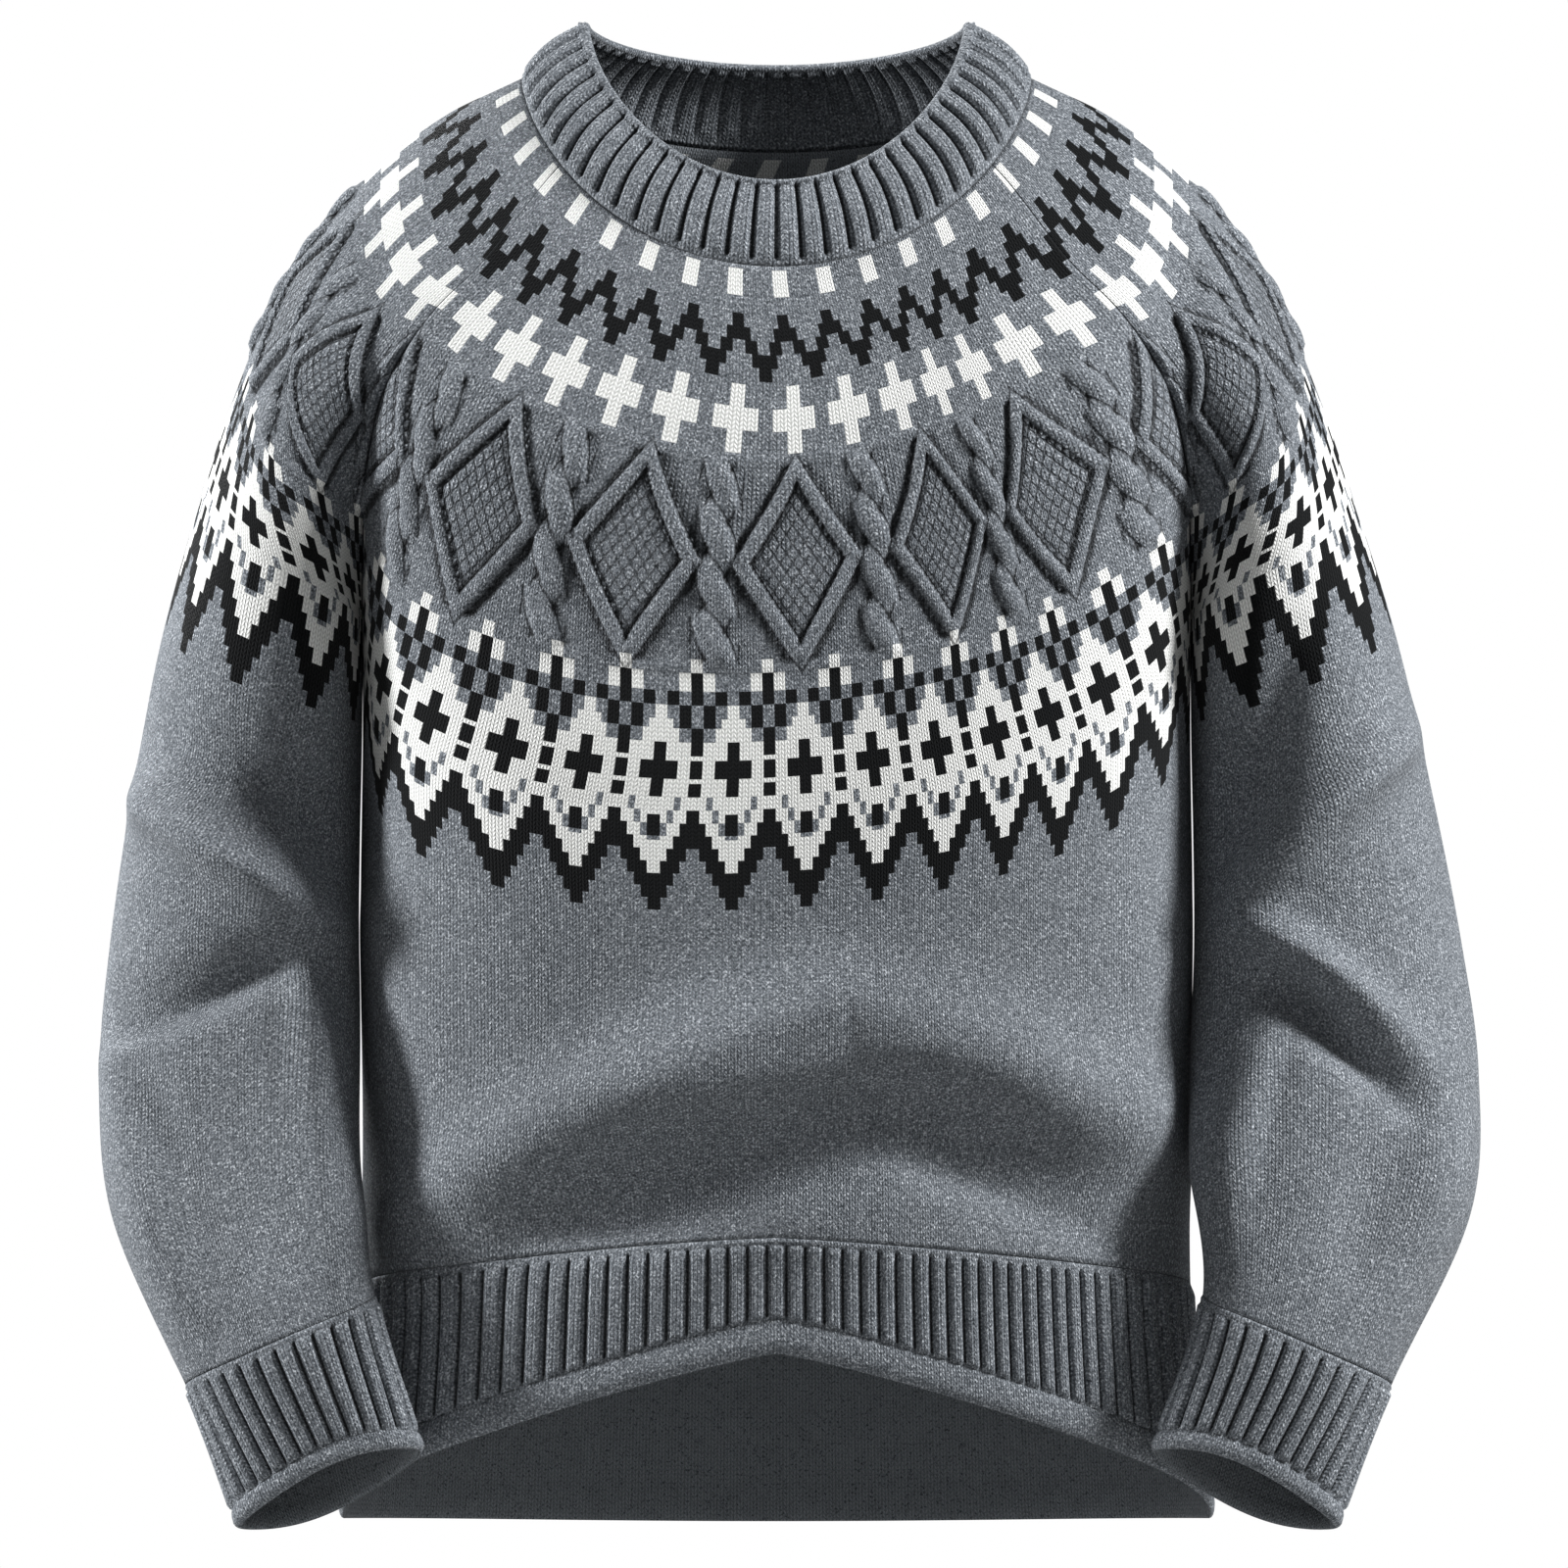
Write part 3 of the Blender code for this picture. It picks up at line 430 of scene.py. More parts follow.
def panel_grid(row, angles, side, rows, fractions, outward):
    """Points and outward unit normals of a panel at the given rows and fractions across it."""
    def points(distances, places):
        """Rows of points, the upper ones bent to follow the neck seam."""
        change = ring_point(NECK, angles(side, places)) - row(side, 0.0, places)
        return np.array([row(side, v, places) + change * (1 - smooth_step(0, NECK_BLEND, v))
                         for v in distances])

    ends = fractions[[0, -1]]
    across = (points(rows, np.clip(fractions + ACROSS_STEP, *ends))
              - points(rows, np.clip(fractions - ACROSS_STEP, *ends)))
    down = points(rows + DOWN_STEP, fractions) - points(rows - DOWN_STEP, fractions)
    normals = unit(np.cross(down, across)) * outward
    if rows[0] == HALF_GAP:
        normals[0] = neck_normal(angles(side, fractions))
    return points(rows, fractions), normals


def body_grid(facing, rows, fractions):
    """Points and normals of the front (facing -1) or the back (facing 1)."""
    return panel_grid(body_row, body_angles, facing, rows, fractions, -facing)


def sleeve_grid(side, rows, fractions):
    """Points and normals of the sleeve on one side (-1 or 1)."""
    return panel_grid(sleeve_row, sleeve_angles, side, rows, fractions, side)


def settle_edge(points, normals, shared, edge):
    """Give an edge column the seam's shared normals and pull it half a gap away from the seam."""
    line = points[:, edge]
    along = unit(np.gradient(line, axis=0))
    shared = unit(shared - along * (shared * along).sum(axis=-1, keepdims=True))
    inward = unit(points[:, BESIDE[edge]] - line) - normals[:, edge]
    inward -= along * (inward * along).sum(axis=-1, keepdims=True)
    inward -= shared * (inward * shared).sum(axis=-1, keepdims=True)
    normals[:, edge] = shared
    points[:, edge] = line + HALF_GAP * unit(inward)


# Yarns of the pattern: "." heather grey, "W" off-white, "B" black. Each line is so many rows of stitches
YARNS = ".WB"
DASH_ROW = 1
DASH_CHART = [(6, "...WWW...")]
YOKE_ROW = 11
YOKE_CHART = [
    (3, "...BB..."),
    (3, "..BBBB.."),
    (3, ".BB..BB."),
    (3, "BB....BB"),
    (3, "B......B"),
    (1, "........"),
    (5, "...WW..."),
    (5, ".WWWWWW."),
    (5, "...WW..."),
]
# The border's spines are at the ends of a line and its medallions in the middle
BORDER_ROW = 87
BORDER_CHART = [
    (3, "W..........W"),
    (4, "BWW......WWB"),
    (3, "B..BB..BB..B"),
    (3, ".BB..WW..BB."),
    (2, ".BB.WWWW.BB."),
    (3, "B..WWWWWW..B"),
    (3, "BWWWWBBWWWWB"),
    (1, "WWWWWBBWWWWW"),
    (4, "BWWBBBBBBWWB"),
    (1, "WWWWWBBWWWWW"),
    (3, "BWWWWBBWWWWB"),
    (3, "WW.WWWWWW.WW"),
    (1, "BWW.WWWW.WWB"),
    (2, "BWW.WBBW.WWB"),
    (3, "BBWW.BB.WWBB"),
    (1, "BBBWW..WWBBB"),
    (2, "BBBWWWWWWBBB"),
    (3, ".BBBWWWWBBB."),
    (3, "..BBBWWBBB.."),
    (3, "...BBBBBB..."),
    (3, "....BBBB...."),
    (3, ".....BB....."),
]

# Cables and diamonds, between the purl lines at either end of their band
REPEAT_WIDTH = 70.0
BAND_MIDDLE = 0.5 * (CABLE_TOP + CABLE_END)
DIAMOND_HALF_WIDTH = 25.0
DIAMOND_HALF_HEIGHT = 42.5
# Distance from the middle of a diamond to the middle of its ridge
DIAMOND_REACH = DIAMOND_HALF_WIDTH * DIAMOND_HALF_HEIGHT / math.hypot(DIAMOND_HALF_WIDTH, DIAMOND_HALF_HEIGHT)
RIDGE_HALF = 2.8
RIDGE_HEIGHT = 2.5
FURROW_HEIGHT = -0.7
FURROW_PLACE = 2.6
HONEYCOMB = (5.6, 8.6)
HONEYCOMB_HEIGHT = 0.9
STRAND_LEAN = math.radians(24)
STRAND_HALF = (17.0, 5.8)
STRAND_STEP = 24.0
UNDER_HEIGHT = 2.8
OVER_HEIGHT = 4.0
CABLE_BED = 0.7
BED_EDGE = (10.5, 7.5)
PURL_GROUND = -0.7
PURL_PLACE = 1.2
PURL_WIDTH = 1.3
# Part of a repeat over which the cables and diamonds die away at a side seam
EDGE_FADE = 0.06


def open_chart(chart):
    """Chart as a grid of yarn numbers with one line for every row of stitches."""
    return np.array([[YARNS.index(mark) for mark in line] for count, row in chart for line in [row] * count])


def yarn_pattern(rows, columns, phase):
    """Yarn of each stitch of a panel; rows and columns are the edges of its cells."""
    row = (0.5 * (rows[1:] + rows[:-1]) / ROW_HEIGHT).astype(int)
    place = 0.5 * (columns[1:] + columns[:-1]) + phase
    yarn = np.zeros((len(row), len(place)))
    for lines, first, per_repeat in ((DASH_CHART, DASH_ROW, COARSE_STITCHES),
                                     (YOKE_CHART, YOKE_ROW, COARSE_STITCHES),
                                     (BORDER_CHART, BORDER_ROW, FINE_STITCHES)):
        chart = open_chart(lines)
        width = chart.shape[1]
        stitch = (np.floor(place * per_repeat).astype(int) + width // 2) % width
        charted = (row >= first) & (row < first + len(chart))
        yarn[charted] = chart[row[charted] - first][:, stitch]
    return yarn


def cable_strand(x, y, lean):
    """Height of one strand of a cable round its middle; it leans to one side (1) or the other (-1)."""
    along = y * math.cos(STRAND_LEAN) + lean * x * math.sin(STRAND_LEAN)
    across = x * math.cos(STRAND_LEAN) - lean * y * math.sin(STRAND_LEAN)
    reach = (along / STRAND_HALF[0]) ** 2 + (across / STRAND_HALF[1]) ** 2
    return np.sqrt(np.clip(1 - reach, 0, 1))


def cable_height(x, y):
    """Rope of two strands: those that lean right lie over those that lean left."""
    height = CABLE_BED * smooth_step(*BED_EDGE, np.abs(x))
    for step in range(-2, 3):
        under = UNDER_HEIGHT * cable_strand(x, y - step * STRAND_STEP, -1)
        over = OVER_HEIGHT * cable_strand(x, y - (step + 0.5) * STRAND_STEP, 1)
        height = np.maximum(height, np.maximum(under, over))
    return height


def diamond_height(x, y):
    """Raised diamond with a furrow round it and a honeycomb inside."""
    off = (np.abs(x) / DIAMOND_HALF_WIDTH + np.abs(y) / DIAMOND_HALF_HEIGHT - 1) * DIAMOND_REACH
    ridge = RIDGE_HEIGHT * smooth_step(RIDGE_HALF + 1.2, RIDGE_HALF - 0.8, np.abs(off))
    furrow = FURROW_HEIGHT * np.exp(-((off - RIDGE_HALF - FURROW_PLACE) / 1.5) ** 2)
    return ridge + furrow + smooth_step(-4.4, -6.4, off) * HONEYCOMB_HEIGHT


def knit_relief(rows, columns, phase):
    """Heights over a panel of its cables, diamonds and purl lines, which die away at its side seams."""
    place = columns + phase
    x = (place - np.round(place)) * REPEAT_WIDTH
    x_cable = (place - np.floor(place) - 0.5) * REPEAT_WIDTH
    y = (rows - BAND_MIDDLE)[:, None]
    height = PURL_GROUND + np.maximum(cable_height(x_cable, y), diamond_height(x, y) - PURL_GROUND)
    in_band = (smooth_step(CABLE_TOP - 1, CABLE_TOP + 2, rows)
               * smooth_step(CABLE_END + 1, CABLE_END - 2, rows))
    purl = (np.exp(-((rows - CABLE_TOP + PURL_PLACE) / PURL_WIDTH) ** 2)
            + np.exp(-((rows - CABLE_END - PURL_PLACE) / PURL_WIDTH) ** 2))
    edge = smooth_step(0, EDGE_FADE, np.abs(columns[0]) - np.abs(columns))
    return (height * in_band[:, None] + purl[:, None]) * edge


def corners(grid):
    """Values of a grid at the four corners of each of its cells, going round from the top left."""
    cells = np.stack([grid[:-1, :-1], grid[:-1, 1:], grid[1:, 1:], grid[1:, :-1]], axis=2)
    return cells.reshape((-1, 4) + grid.shape[2:])


def strip(upper, lower):
    """Triangles between two rows of point numbers, one of which may be finer by a whole factor."""
    cells = min(len(upper), len(lower)) - 1
    up = (len(upper) - 1) // cells
    low = (len(lower) - 1) // cells
    faces = []
    for cell in range(cells):
        top = upper[cell * up:(cell + 1) * up + 1]
        bottom = lower[cell * low:(cell + 1) * low + 1]
        faces += [[first, second, bottom[-1]] for first, second in zip(top, top[1:])]
        faces += [[top[0], second, first] for first, second in zip(bottom, bottom[1:])]
    return faces


def add_object(name, data):
    """New object in the scene."""
    thing = bpy.data.objects.new(name, data)
    bpy.context.scene.collection.objects.link(thing)
    return thing


def make_shell(name, points, normals, relief, depth, maps, inner_map, inner_rows, inner_step, outward,
               materials, closed_from, yarn=0):
    """Mesh of one knitted piece, relief above its grid of points outside and depth below it inside.

    The inner grid is used at inner_rows and every inner_step columns. maps has the places of the outer
    cells' corners in each UV map, inner_map those of the inner cells in stitches, and yarn the yarn of
    each outer cell. From row closed_from on, unless it is None, rows are closed rings.
    """
    outer = points + relief[..., None] * normals
    inner = points - depth[..., None] * normals
    count = relief.size
    numbers = np.arange(count).reshape(relief.shape)
    if closed_from is not None:
        numbers[closed_from:, -1] = numbers[closed_from:, 0]
    inner_numbers = numbers[inner_rows][:, ::inner_step] + count
    outside = corners(numbers)
    inside = corners(inner_numbers)[:, ::-1]
    facing_in = strip(numbers[0], inner_numbers[0])
    facing_out = strip(numbers[-1], inner_numbers[-1])
    last_open = len(numbers) - 1 if closed_from is None else closed_from
    open_rows = [k for k, row in enumerate(inner_rows) if row <= last_open]
    for side, faces in ((0, facing_out), (-1, facing_in)):
        for first, second in zip(open_rows, open_rows[1:]):
            between = numbers[inner_rows[first]:inner_rows[second] + 1, side]
            faces += strip(between, inner_numbers[[first, second], side])
    rims = np.array(facing_out + [face[::-1] for face in facing_in])
    if outward > 0:
        outside, inside, rims = outside[:, ::-1], inside[:, ::-1], rims[:, ::-1]
        maps = {key: places[:, ::-1] for key, places in maps.items()}
        inner_map = inner_map[:, ::-1]
    used, renumbered = np.unique(np.concatenate([outside.ravel(), inside.ravel(), rims.ravel()]),
                                 return_inverse=True)
    places = np.concatenate([outer.reshape(-1, 3), inner.reshape(-1, 3)])[used] * MM
    four_sided = (len(outside) + len(inside)) * 4
    faces = renumbered[:four_sided].reshape(-1, 4).tolist() + renumbered[four_sided:].reshape(-1, 3).tolist()
    mesh = bpy.data.meshes.new(name)
    mesh.from_pydata(places.tolist(), [], faces)
    for material in materials:
        mesh.materials.append(material)
    mesh.polygons.foreach_set("material_index", np.repeat([0, 1], [len(outside), len(faces) - len(outside)]))
    yarns = np.zeros(len(faces))
    yarns[:len(outside)] = np.ravel(yarn) / 2
    mesh.attributes.new("yarn", "FLOAT", "FACE").data.foreach_set("value", yarns)
    depth = np.concatenate([hollow_of(relief).ravel(), np.zeros(count)])[used]
    mesh.attributes.new("hollow", "FLOAT", "POINT").data.foreach_set("value", depth)
    for key, corner_places in maps.items():
        layer = np.zeros((len(mesh.loops), 2))
        layer[:len(outside) * 4] = corner_places.reshape(-1, 2)
        if key == "stitches":
            layer[len(outside) * 4:four_sided] = inner_map[:, ::-1].reshape(-1, 2)
        mesh.uv_layers.new(name=key).data.foreach_set("uv", layer.ravel())
    mesh.shade_smooth()
    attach(add_object(name + "_knit", mesh), "root")


def hollow_of(height):
    """How far each point of a grid of heights lies below the mean of the points round it."""
    padded = np.pad(height, HOLLOW_REACH, mode="edge")
    mean = np.zeros_like(height)
    steps = range(2 * HOLLOW_REACH + 1)
    for down in steps:
        for across in steps:
            mean += padded[down:down + height.shape[0], across:across + height.shape[1]]
    return mean / len(steps) ** 2 - height


def place_of_stitches(rows, places, per_repeat):
    """Place of each corner of each cell in stitches across and rows down; rows may differ by column."""
    down = np.broadcast_to(np.reshape(rows, (len(rows), -1)), (len(rows), len(places)))
    across = np.broadcast_to(places, down.shape)
    stitch_map = corners(np.stack([across, down / ROW_HEIGHT], axis=-1))
    per_repeat = np.broadcast_to(per_repeat, len(rows) - 1)
    stitch_map[..., 0] *= np.repeat(per_repeat, len(places) - 1)[:, None]
    return stitch_map


def place_in_motifs(rows, places):
    """Place of each corner of each cell in millimetres from the middle of the nearest diamond."""
    across, down = np.meshgrid(places, rows - BAND_MIDDLE)
    motif_map = corners(np.stack([across, down], axis=-1))
    middle = np.round(motif_map[..., 0].mean(axis=1, keepdims=True))
    motif_map[..., 0] = (motif_map[..., 0] - middle) * REPEAT_WIDTH
    return motif_map


def stitch_columns(repeats):
    """Column edges of a panel in repeats from its middle, at the edges of coarse and of fine stitches."""
    edges = [np.arange(repeats * count + 1) / count for count in (COARSE_STITCHES, FINE_STITCHES)]
    return np.unique(np.round(np.concatenate(edges), 9)) - repeats / 2


def add_folds(points, normals):
    """Points moved by the folds of the garment and by the finer creases beside them."""
    height = fold_height(points, normals, FOLDS) + fold_height(points, normals, CREASES)
    return points + height[..., None] * normals


def close_ring(points, normals, first_row):
    """Make the last column of the rows from first_row on the same as the first."""
    shared = unit(normals[first_row:, 0] + normals[first_row:, -1])
    normals[first_row:, [0, -1]] = shared[:, None]
    points[first_row:, -1] = points[first_row:, 0]


def panel_rows(end):
    """Rows of a panel: those of the yoke, at the stitches, then even ones from the underarm to its end."""
    yoke = np.arange(YOKE_ROWS + 1) * ROW_HEIGHT
    yoke[0] = HALF_GAP
    lower = np.linspace(UNDERARM, end, round((end - UNDERARM) / ROW_HEIGHT) + 1)
    lower[-1] -= HALF_GAP
    return np.concatenate([yoke, lower[1:]])


def raglan_normals(body, edge, sleeve, sleeve_edge):
    """Shared normals along a raglan seam, which keep its two rims parallel in a sharp fold."""
    points, normals = (grid[:YOKE_ROWS] for grid in body)
    sleeve_points, sleeve_normals = (grid[:YOKE_ROWS] for grid in sleeve)
    return unit(normals[:, edge] + sleeve_normals[:, sleeve_edge]
                + unit(points[:, BESIDE[edge]] - points[:, edge])
                + unit(sleeve_points[:, BESIDE[sleeve_edge]] - sleeve_points[:, sleeve_edge]))


def make_panel(name, points, normals, rows, places, phase, outward, materials, closed_from=None):
    """One patterned panel from its points and the places of its columns counted in repeats."""
    relief = knit_relief(rows, places, phase)
    per_repeat = np.where(0.5 * (rows[1:] + rows[:-1]) < BAND_MIDDLE, COARSE_STITCHES, FINE_STITCHES)
    inner_rows = [*range(0, len(rows) - 1, INNER_ROWS), len(rows) - 1]
    maps = {"stitches": place_of_stitches(rows, places + phase, per_repeat),
            "motifs": place_in_motifs(rows, places + phase)}
    inner_map = place_of_stitches(rows[inner_rows], places[::INNER_COLUMNS] + phase, COARSE_STITCHES)
    make_shell(name, add_folds(points, normals), normals, relief, np.full_like(relief, WALL), maps, inner_map,
               inner_rows, INNER_COLUMNS, outward, materials, closed_from, yarn_pattern(rows, places, phase))


def build_panels(materials):
    """Front, back and both sleeves, whose edges share the normals of the seams between them."""
    body_rows = panel_rows(BODY_END)
    sleeve_rows = panel_rows(SLEEVE_END)
    chest = stitch_columns(FRONT_REPEATS)
    shoulders = stitch_columns(BACK_REPEATS)
    around = stitch_columns(SLEEVE_REPEATS)
    front = body_grid(-1, body_rows, chest / chest[-1])
    back = body_grid(1, body_rows, shoulders / shoulders[-1])
    sleeves = {side: sleeve_grid(side, sleeve_rows, around / SLEEVE_REPEATS + 0.5) for side in (-1, 1)}
    for side, sleeve in sleeves.items():
        close_ring(*sleeve, YOKE_ROWS)
        edge = 0 if side < 0 else -1
        side_normals = unit(front[1][YOKE_ROWS:, edge] + back[1][YOKE_ROWS:, edge])
        for body, sleeve_edge in ((front, 0), (back, -1)):
            raglan = raglan_normals(body, edge, sleeve, sleeve_edge)
            settle_edge(*body, np.concatenate([raglan, side_normals]), edge)
            settle_edge(sleeve[0][:YOKE_ROWS], sleeve[1][:YOKE_ROWS], raglan, sleeve_edge)
    make_panel("front", *front, body_rows, chest, 0, 1, materials)
    make_panel("back", *back, body_rows, shoulders, 0, -1, materials)
    for name, side in (("sleeve_left", -1), ("sleeve_right", 1)):
        make_panel(name, *sleeves[side], sleeve_rows, around, 0.5, side, materials, YOKE_ROWS)


# Ribbed bands: where the points of one rib lie, from its furrow to the next, and the sizes of its relief
RIB_STEPS = np.array([0.0, 0.06, 0.14, 0.28, 0.44, 0.5, 0.56, 0.72, 0.86, 0.94])
RIB_TOP = 2.0
RIB_FURROW = 1.4
FURROW_WIDTH = 0.15
RIB_SPLIT = 0.3
SPLIT_WIDTH = 0.06
BAND_STEP = 2.0
ROLL_ROWS = 11
GUIDE_ROWS = 40
ROLL_OUT = 1.9
ROLL_IN = 1.4
# The line of linking below the seam of a band: its height, place and width
LINKING = 0.8
LINKING_PLACE = 1.6
LINKING_WIDTH = 0.9
# Where the ribs rise below it, and how far above the roll they begin to die away
RIB_START = (2.5, 4.5)
RIB_FADE = 2.5
STITCHES_PER_RIB = 3
VISIBLE_RIBS = {"hem_front": 56, "hem_back": 53, "cuff": 28, "collar": 64}


def rib_places(ribs):
    """Places of the points across a band, counted in ribs."""
    return np.append((np.arange(ribs)[:, None] + RIB_STEPS).ravel(), ribs)


def rib_height(places):
    """Height of wide ribs of two stitch columns with a narrow furrow at every whole number."""
    off = np.abs(places - np.round(places))
    furrow = np.exp(-(off / FURROW_WIDTH) ** 2)
    split = np.exp(-((off - 0.5) / SPLIT_WIDTH) ** 2)
    return RIB_TOP - (RIB_TOP + RIB_FURROW) * furrow - RIB_SPLIT * split


def band_relief(rows, welt, rib_end, places):
    """Outer and inner offsets of a band down to its rolled edge; its ribs stop at rib_end from the edge."""
    end = rows[-1]
    middle = end - welt / 2
    swell = np.sqrt(np.clip(1 - ((rows - middle) / (welt / 2)) ** 2, 0, 1))
    beyond = rows > middle
    roll_out = np.where(beyond, -WALL / 2 + (ROLL_OUT + WALL / 2) * swell, ROLL_OUT * swell - 0.3)
    roll_in = np.where(beyond, WALL / 2 + ROLL_IN * swell, WALL + (ROLL_IN - WALL / 2) * swell)
    seam = LINKING * np.exp(-((rows - rows[0] - LINKING_PLACE) / LINKING_WIDTH) ** 2)
    ribbed = smooth_step(*RIB_START, rows - rows[0]) * smooth_step(rib_end, rib_end + RIB_FADE, end - rows)
    in_roll = rows > end - welt
    outer = np.where(in_roll, roll_out, seam) + ribbed * rib_height(places)
    return outer, np.where(in_roll, roll_in, WALL)


def lay_band(points, normals, welt):
    """Spread the rows of a band evenly down each column to its roll, and closer together round it."""
    steps = np.linalg.norm(np.diff(points, axis=0), axis=-1)
    down = np.concatenate([np.zeros((1, points.shape[1])), np.cumsum(steps, axis=0)])
    length = down[-1]
    ribbed = round((length.max() - welt) / BAND_STEP)
    turns = (1 + np.sin(np.linspace(-math.pi / 2, math.pi / 2, ROLL_ROWS))) / 2
    rows = np.concatenate([np.arange(ribbed)[:, None] / ribbed * (length - welt),
                           length - welt + welt * turns[:, None]])
    both = np.concatenate([points, normals], axis=-1)
    laid = np.empty((len(rows),) + both.shape[1:])
    for column, axis in np.ndindex(both.shape[1:]):
        laid[:, column, axis] = np.interp(rows[:, column], down[:, column], both[:, column, axis])
    return laid[..., :3], unit(laid[..., 3:]), rows


def make_band(name, points, normals, places, welt, outward, materials, closed_from=None):
    """One ribbed band from its points and the places of its columns counted in ribs."""
    points, normals, rows = lay_band(points, normals, welt)
    relief, depth = band_relief(rows, welt, welt, places)
    roll = len(rows) - ROLL_ROWS
    inner_rows = [*range(0, roll, 2), *range(roll, len(rows))]
    stitches = places * STITCHES_PER_RIB + 0.5
    maps = {"stitches": place_of_stitches(rows, stitches, 1)}
    per_rib = len(RIB_STEPS)
    inner_map = place_of_stitches(rows[inner_rows][:, ::per_rib], stitches[::per_rib], 1)
    make_shell(name, add_folds(points, normals), normals, relief, depth, maps, inner_map, inner_rows, per_rib,
               outward, materials, closed_from)


def build_hem(materials):
    """Front and back hem bands, which share the normals of the side seams between them."""
    rows = np.linspace(BODY_END + HALF_GAP, HEM_END, GUIDE_ROWS)
    facings = {"hem_front": -1, "hem_back": 1}
    places = {name: rib_places(VISIBLE_RIBS[name]) for name in facings}
    grids = {name: body_grid(facing, rows, places[name] / VISIBLE_RIBS[name] * 2 - 1)
             for name, facing in facings.items()}
    for edge in (0, -1):
        shared = unit(grids["hem_front"][1][:, edge] + grids["hem_back"][1][:, edge])
        for grid in grids.values():
            settle_edge(*grid, shared, edge)
    for name, facing in facings.items():
        make_band(name, *grids[name], places[name], HEM_WELT, -facing, materials)


def build_cuffs(materials):
    """Left and right cuffs, one ring each."""
    rows = np.linspace(SLEEVE_END + HALF_GAP, CUFF_END, GUIDE_ROWS)
    places = rib_places(VISIBLE_RIBS["cuff"])
    for name, side in (("cuff_left", -1), ("cuff_right", 1)):
        grid = sleeve_grid(side, rows, places / VISIBLE_RIBS["cuff"])
        close_ring(*grid, 0)
        make_band(name, *grid, places, CUFF_WELT, side, materials, 0)


def build_collar(materials):
    """Funnel collar, ribbed on both faces, from the neck seam up to its rolled rim."""
    places = rib_places(VISIBLE_RIBS["collar"])
    angles = places / VISIBLE_RIBS["collar"] * 360
    lower = ring_point(NECK, angles)
    upper = ring_point(RIM, angles)
    swell = neck_normal(angles) * COLLAR_BULGE
    points = np.array([lower + (upper - lower) * place + swell * math.sin(math.pi * place)
                       for place in np.linspace(HALF_GAP / COLLAR_HEIGHT, 1, GUIDE_ROWS)])
    normals = unit(np.cross(np.gradient(points, axis=1), np.gradient(points, axis=0)))
    normals[0] = neck_normal(angles)
    close_ring(points, normals, 0)
    points, normals, rows = lay_band(points, normals, COLLAR_WELT)
    relief, depth = band_relief(rows, COLLAR_WELT, COLLAR_PLAIN, places)
    ribbed = smooth_step(4.0, 6.0, rows) * smooth_step(COLLAR_PLAIN, COLLAR_PLAIN + 3, rows[-1] - rows)
    depth = depth + ribbed * 0.5 * rib_height(places + 0.5)
    stitch_map = place_of_stitches(rows, places * STITCHES_PER_RIB + 0.5, 1)
    make_shell("collar", points, normals, relief, depth, {"stitches": stitch_map}, stitch_map,
               list(range(len(rows))), 1, -1, materials, 0)


# Looks of the stitches: the slant, roundness and dip of a V's legs, and the relief of loose fibres
LEG_SLANT = 1.7
LEG_ROUNDNESS = 0.6
LEG_DIP = 0.3
FUZZ_RELIEF = 0.35
# Relief of the small cells and grooves, in stitches, and how much darker painted shade makes them
DETAIL_RELIEF = 1.6
CELL_SHADE = 0.55
LINE_SHADE = 0.5
# Light that is left between stitches and in furrows, and what a stitch's height adds to it
STITCH_DARKEST = 0.5
STITCH_SHADE = 0.6
FURROW_DARKEST = 0.16
CLOUD_RANGE = 0.3
FLOAT_SLANT = 0.35
FLOAT_STRENGTH = 0.7

# Colours of the yarns and of the studio, as sRGB
GREY = "#696e74"
GREY_LIGHT = "#b8bdc3"
GREY_DARK = "#34393e"
OFF_WHITE = "#dedfdd"
BLACK = "#06080a"
INSIDE_GREY = "#73787d"
FLOOR_GREY = "#9a9a99"


def linear(colour):
    """Linear RGBA of an sRGB hex colour."""
    parts = [int(colour[k:k + 2], 16) / 255 for k in (1, 3, 5)]
    return tuple(part / 12.92 if part <= 0.04045 else ((part + 0.055) / 1.055) ** 2.4
                 for part in parts) + (1.0,)


def set_inputs(node, inputs):
    """Give inputs of a node their values, each a plain value or a socket to link from."""
    for name, value in inputs.items():
        if isinstance(value, bpy.types.NodeSocket):
            node.id_data.links.new(value, node.inputs[name])
        else:
            node.inputs[name].default_value = value


def add_node(tree, kind, inputs=None, **settings):
    """Add a node with its settings and its inputs."""
    node = tree.nodes.new(kind)
    for name, value in settings.items():
        setattr(node, name, value)
    set_inputs(node, inputs or {})
    return node


def join_node(kind, inputs, **settings):
    """Add a node to the tree of the sockets among its inputs."""
    tree = next(value.id_data for value in inputs.values() if isinstance(value, bpy.types.NodeSocket))
    return add_node(tree, kind, inputs, **settings)


def math_node(operation):
    """Function that works out one operation on sockets and numbers."""
    def result(*values):
        """Socket with the result for these values."""
        return join_node("ShaderNodeMath", dict(enumerate(values)), operation=operation).outputs[0]

    return result


add, subtract, multiply, multiply_add, maximum, compare, power = map(math_node, (
    "ADD", "SUBTRACT", "MULTIPLY", "MULTIPLY_ADD", "MAXIMUM", "COMPARE", "POWER"))
absolute, sign, whole, fraction, square_root, sine, cosine = map(math_node, (
    "ABSOLUTE", "SIGN", "ROUND", "FRACT", "SQRT", "SINE", "COSINE"))


def mix_colours(amount, first, second, blend="MIX"):
    """Mix of two colours; the sockets of a colour mix are numbers 0, 6 and 7."""
    return join_node("ShaderNodeMix", {0: amount, 6: first, 7: second}, data_type="RGBA",
                     blend_type=blend).outputs[2]


def darken(colour, amount):
    """Colour times a grey amount."""
    grey = join_node("ShaderNodeCombineColor", {0: amount, 1: amount, 2: amount}).outputs[0]
    return mix_colours(1.0, colour, grey, "MULTIPLY")


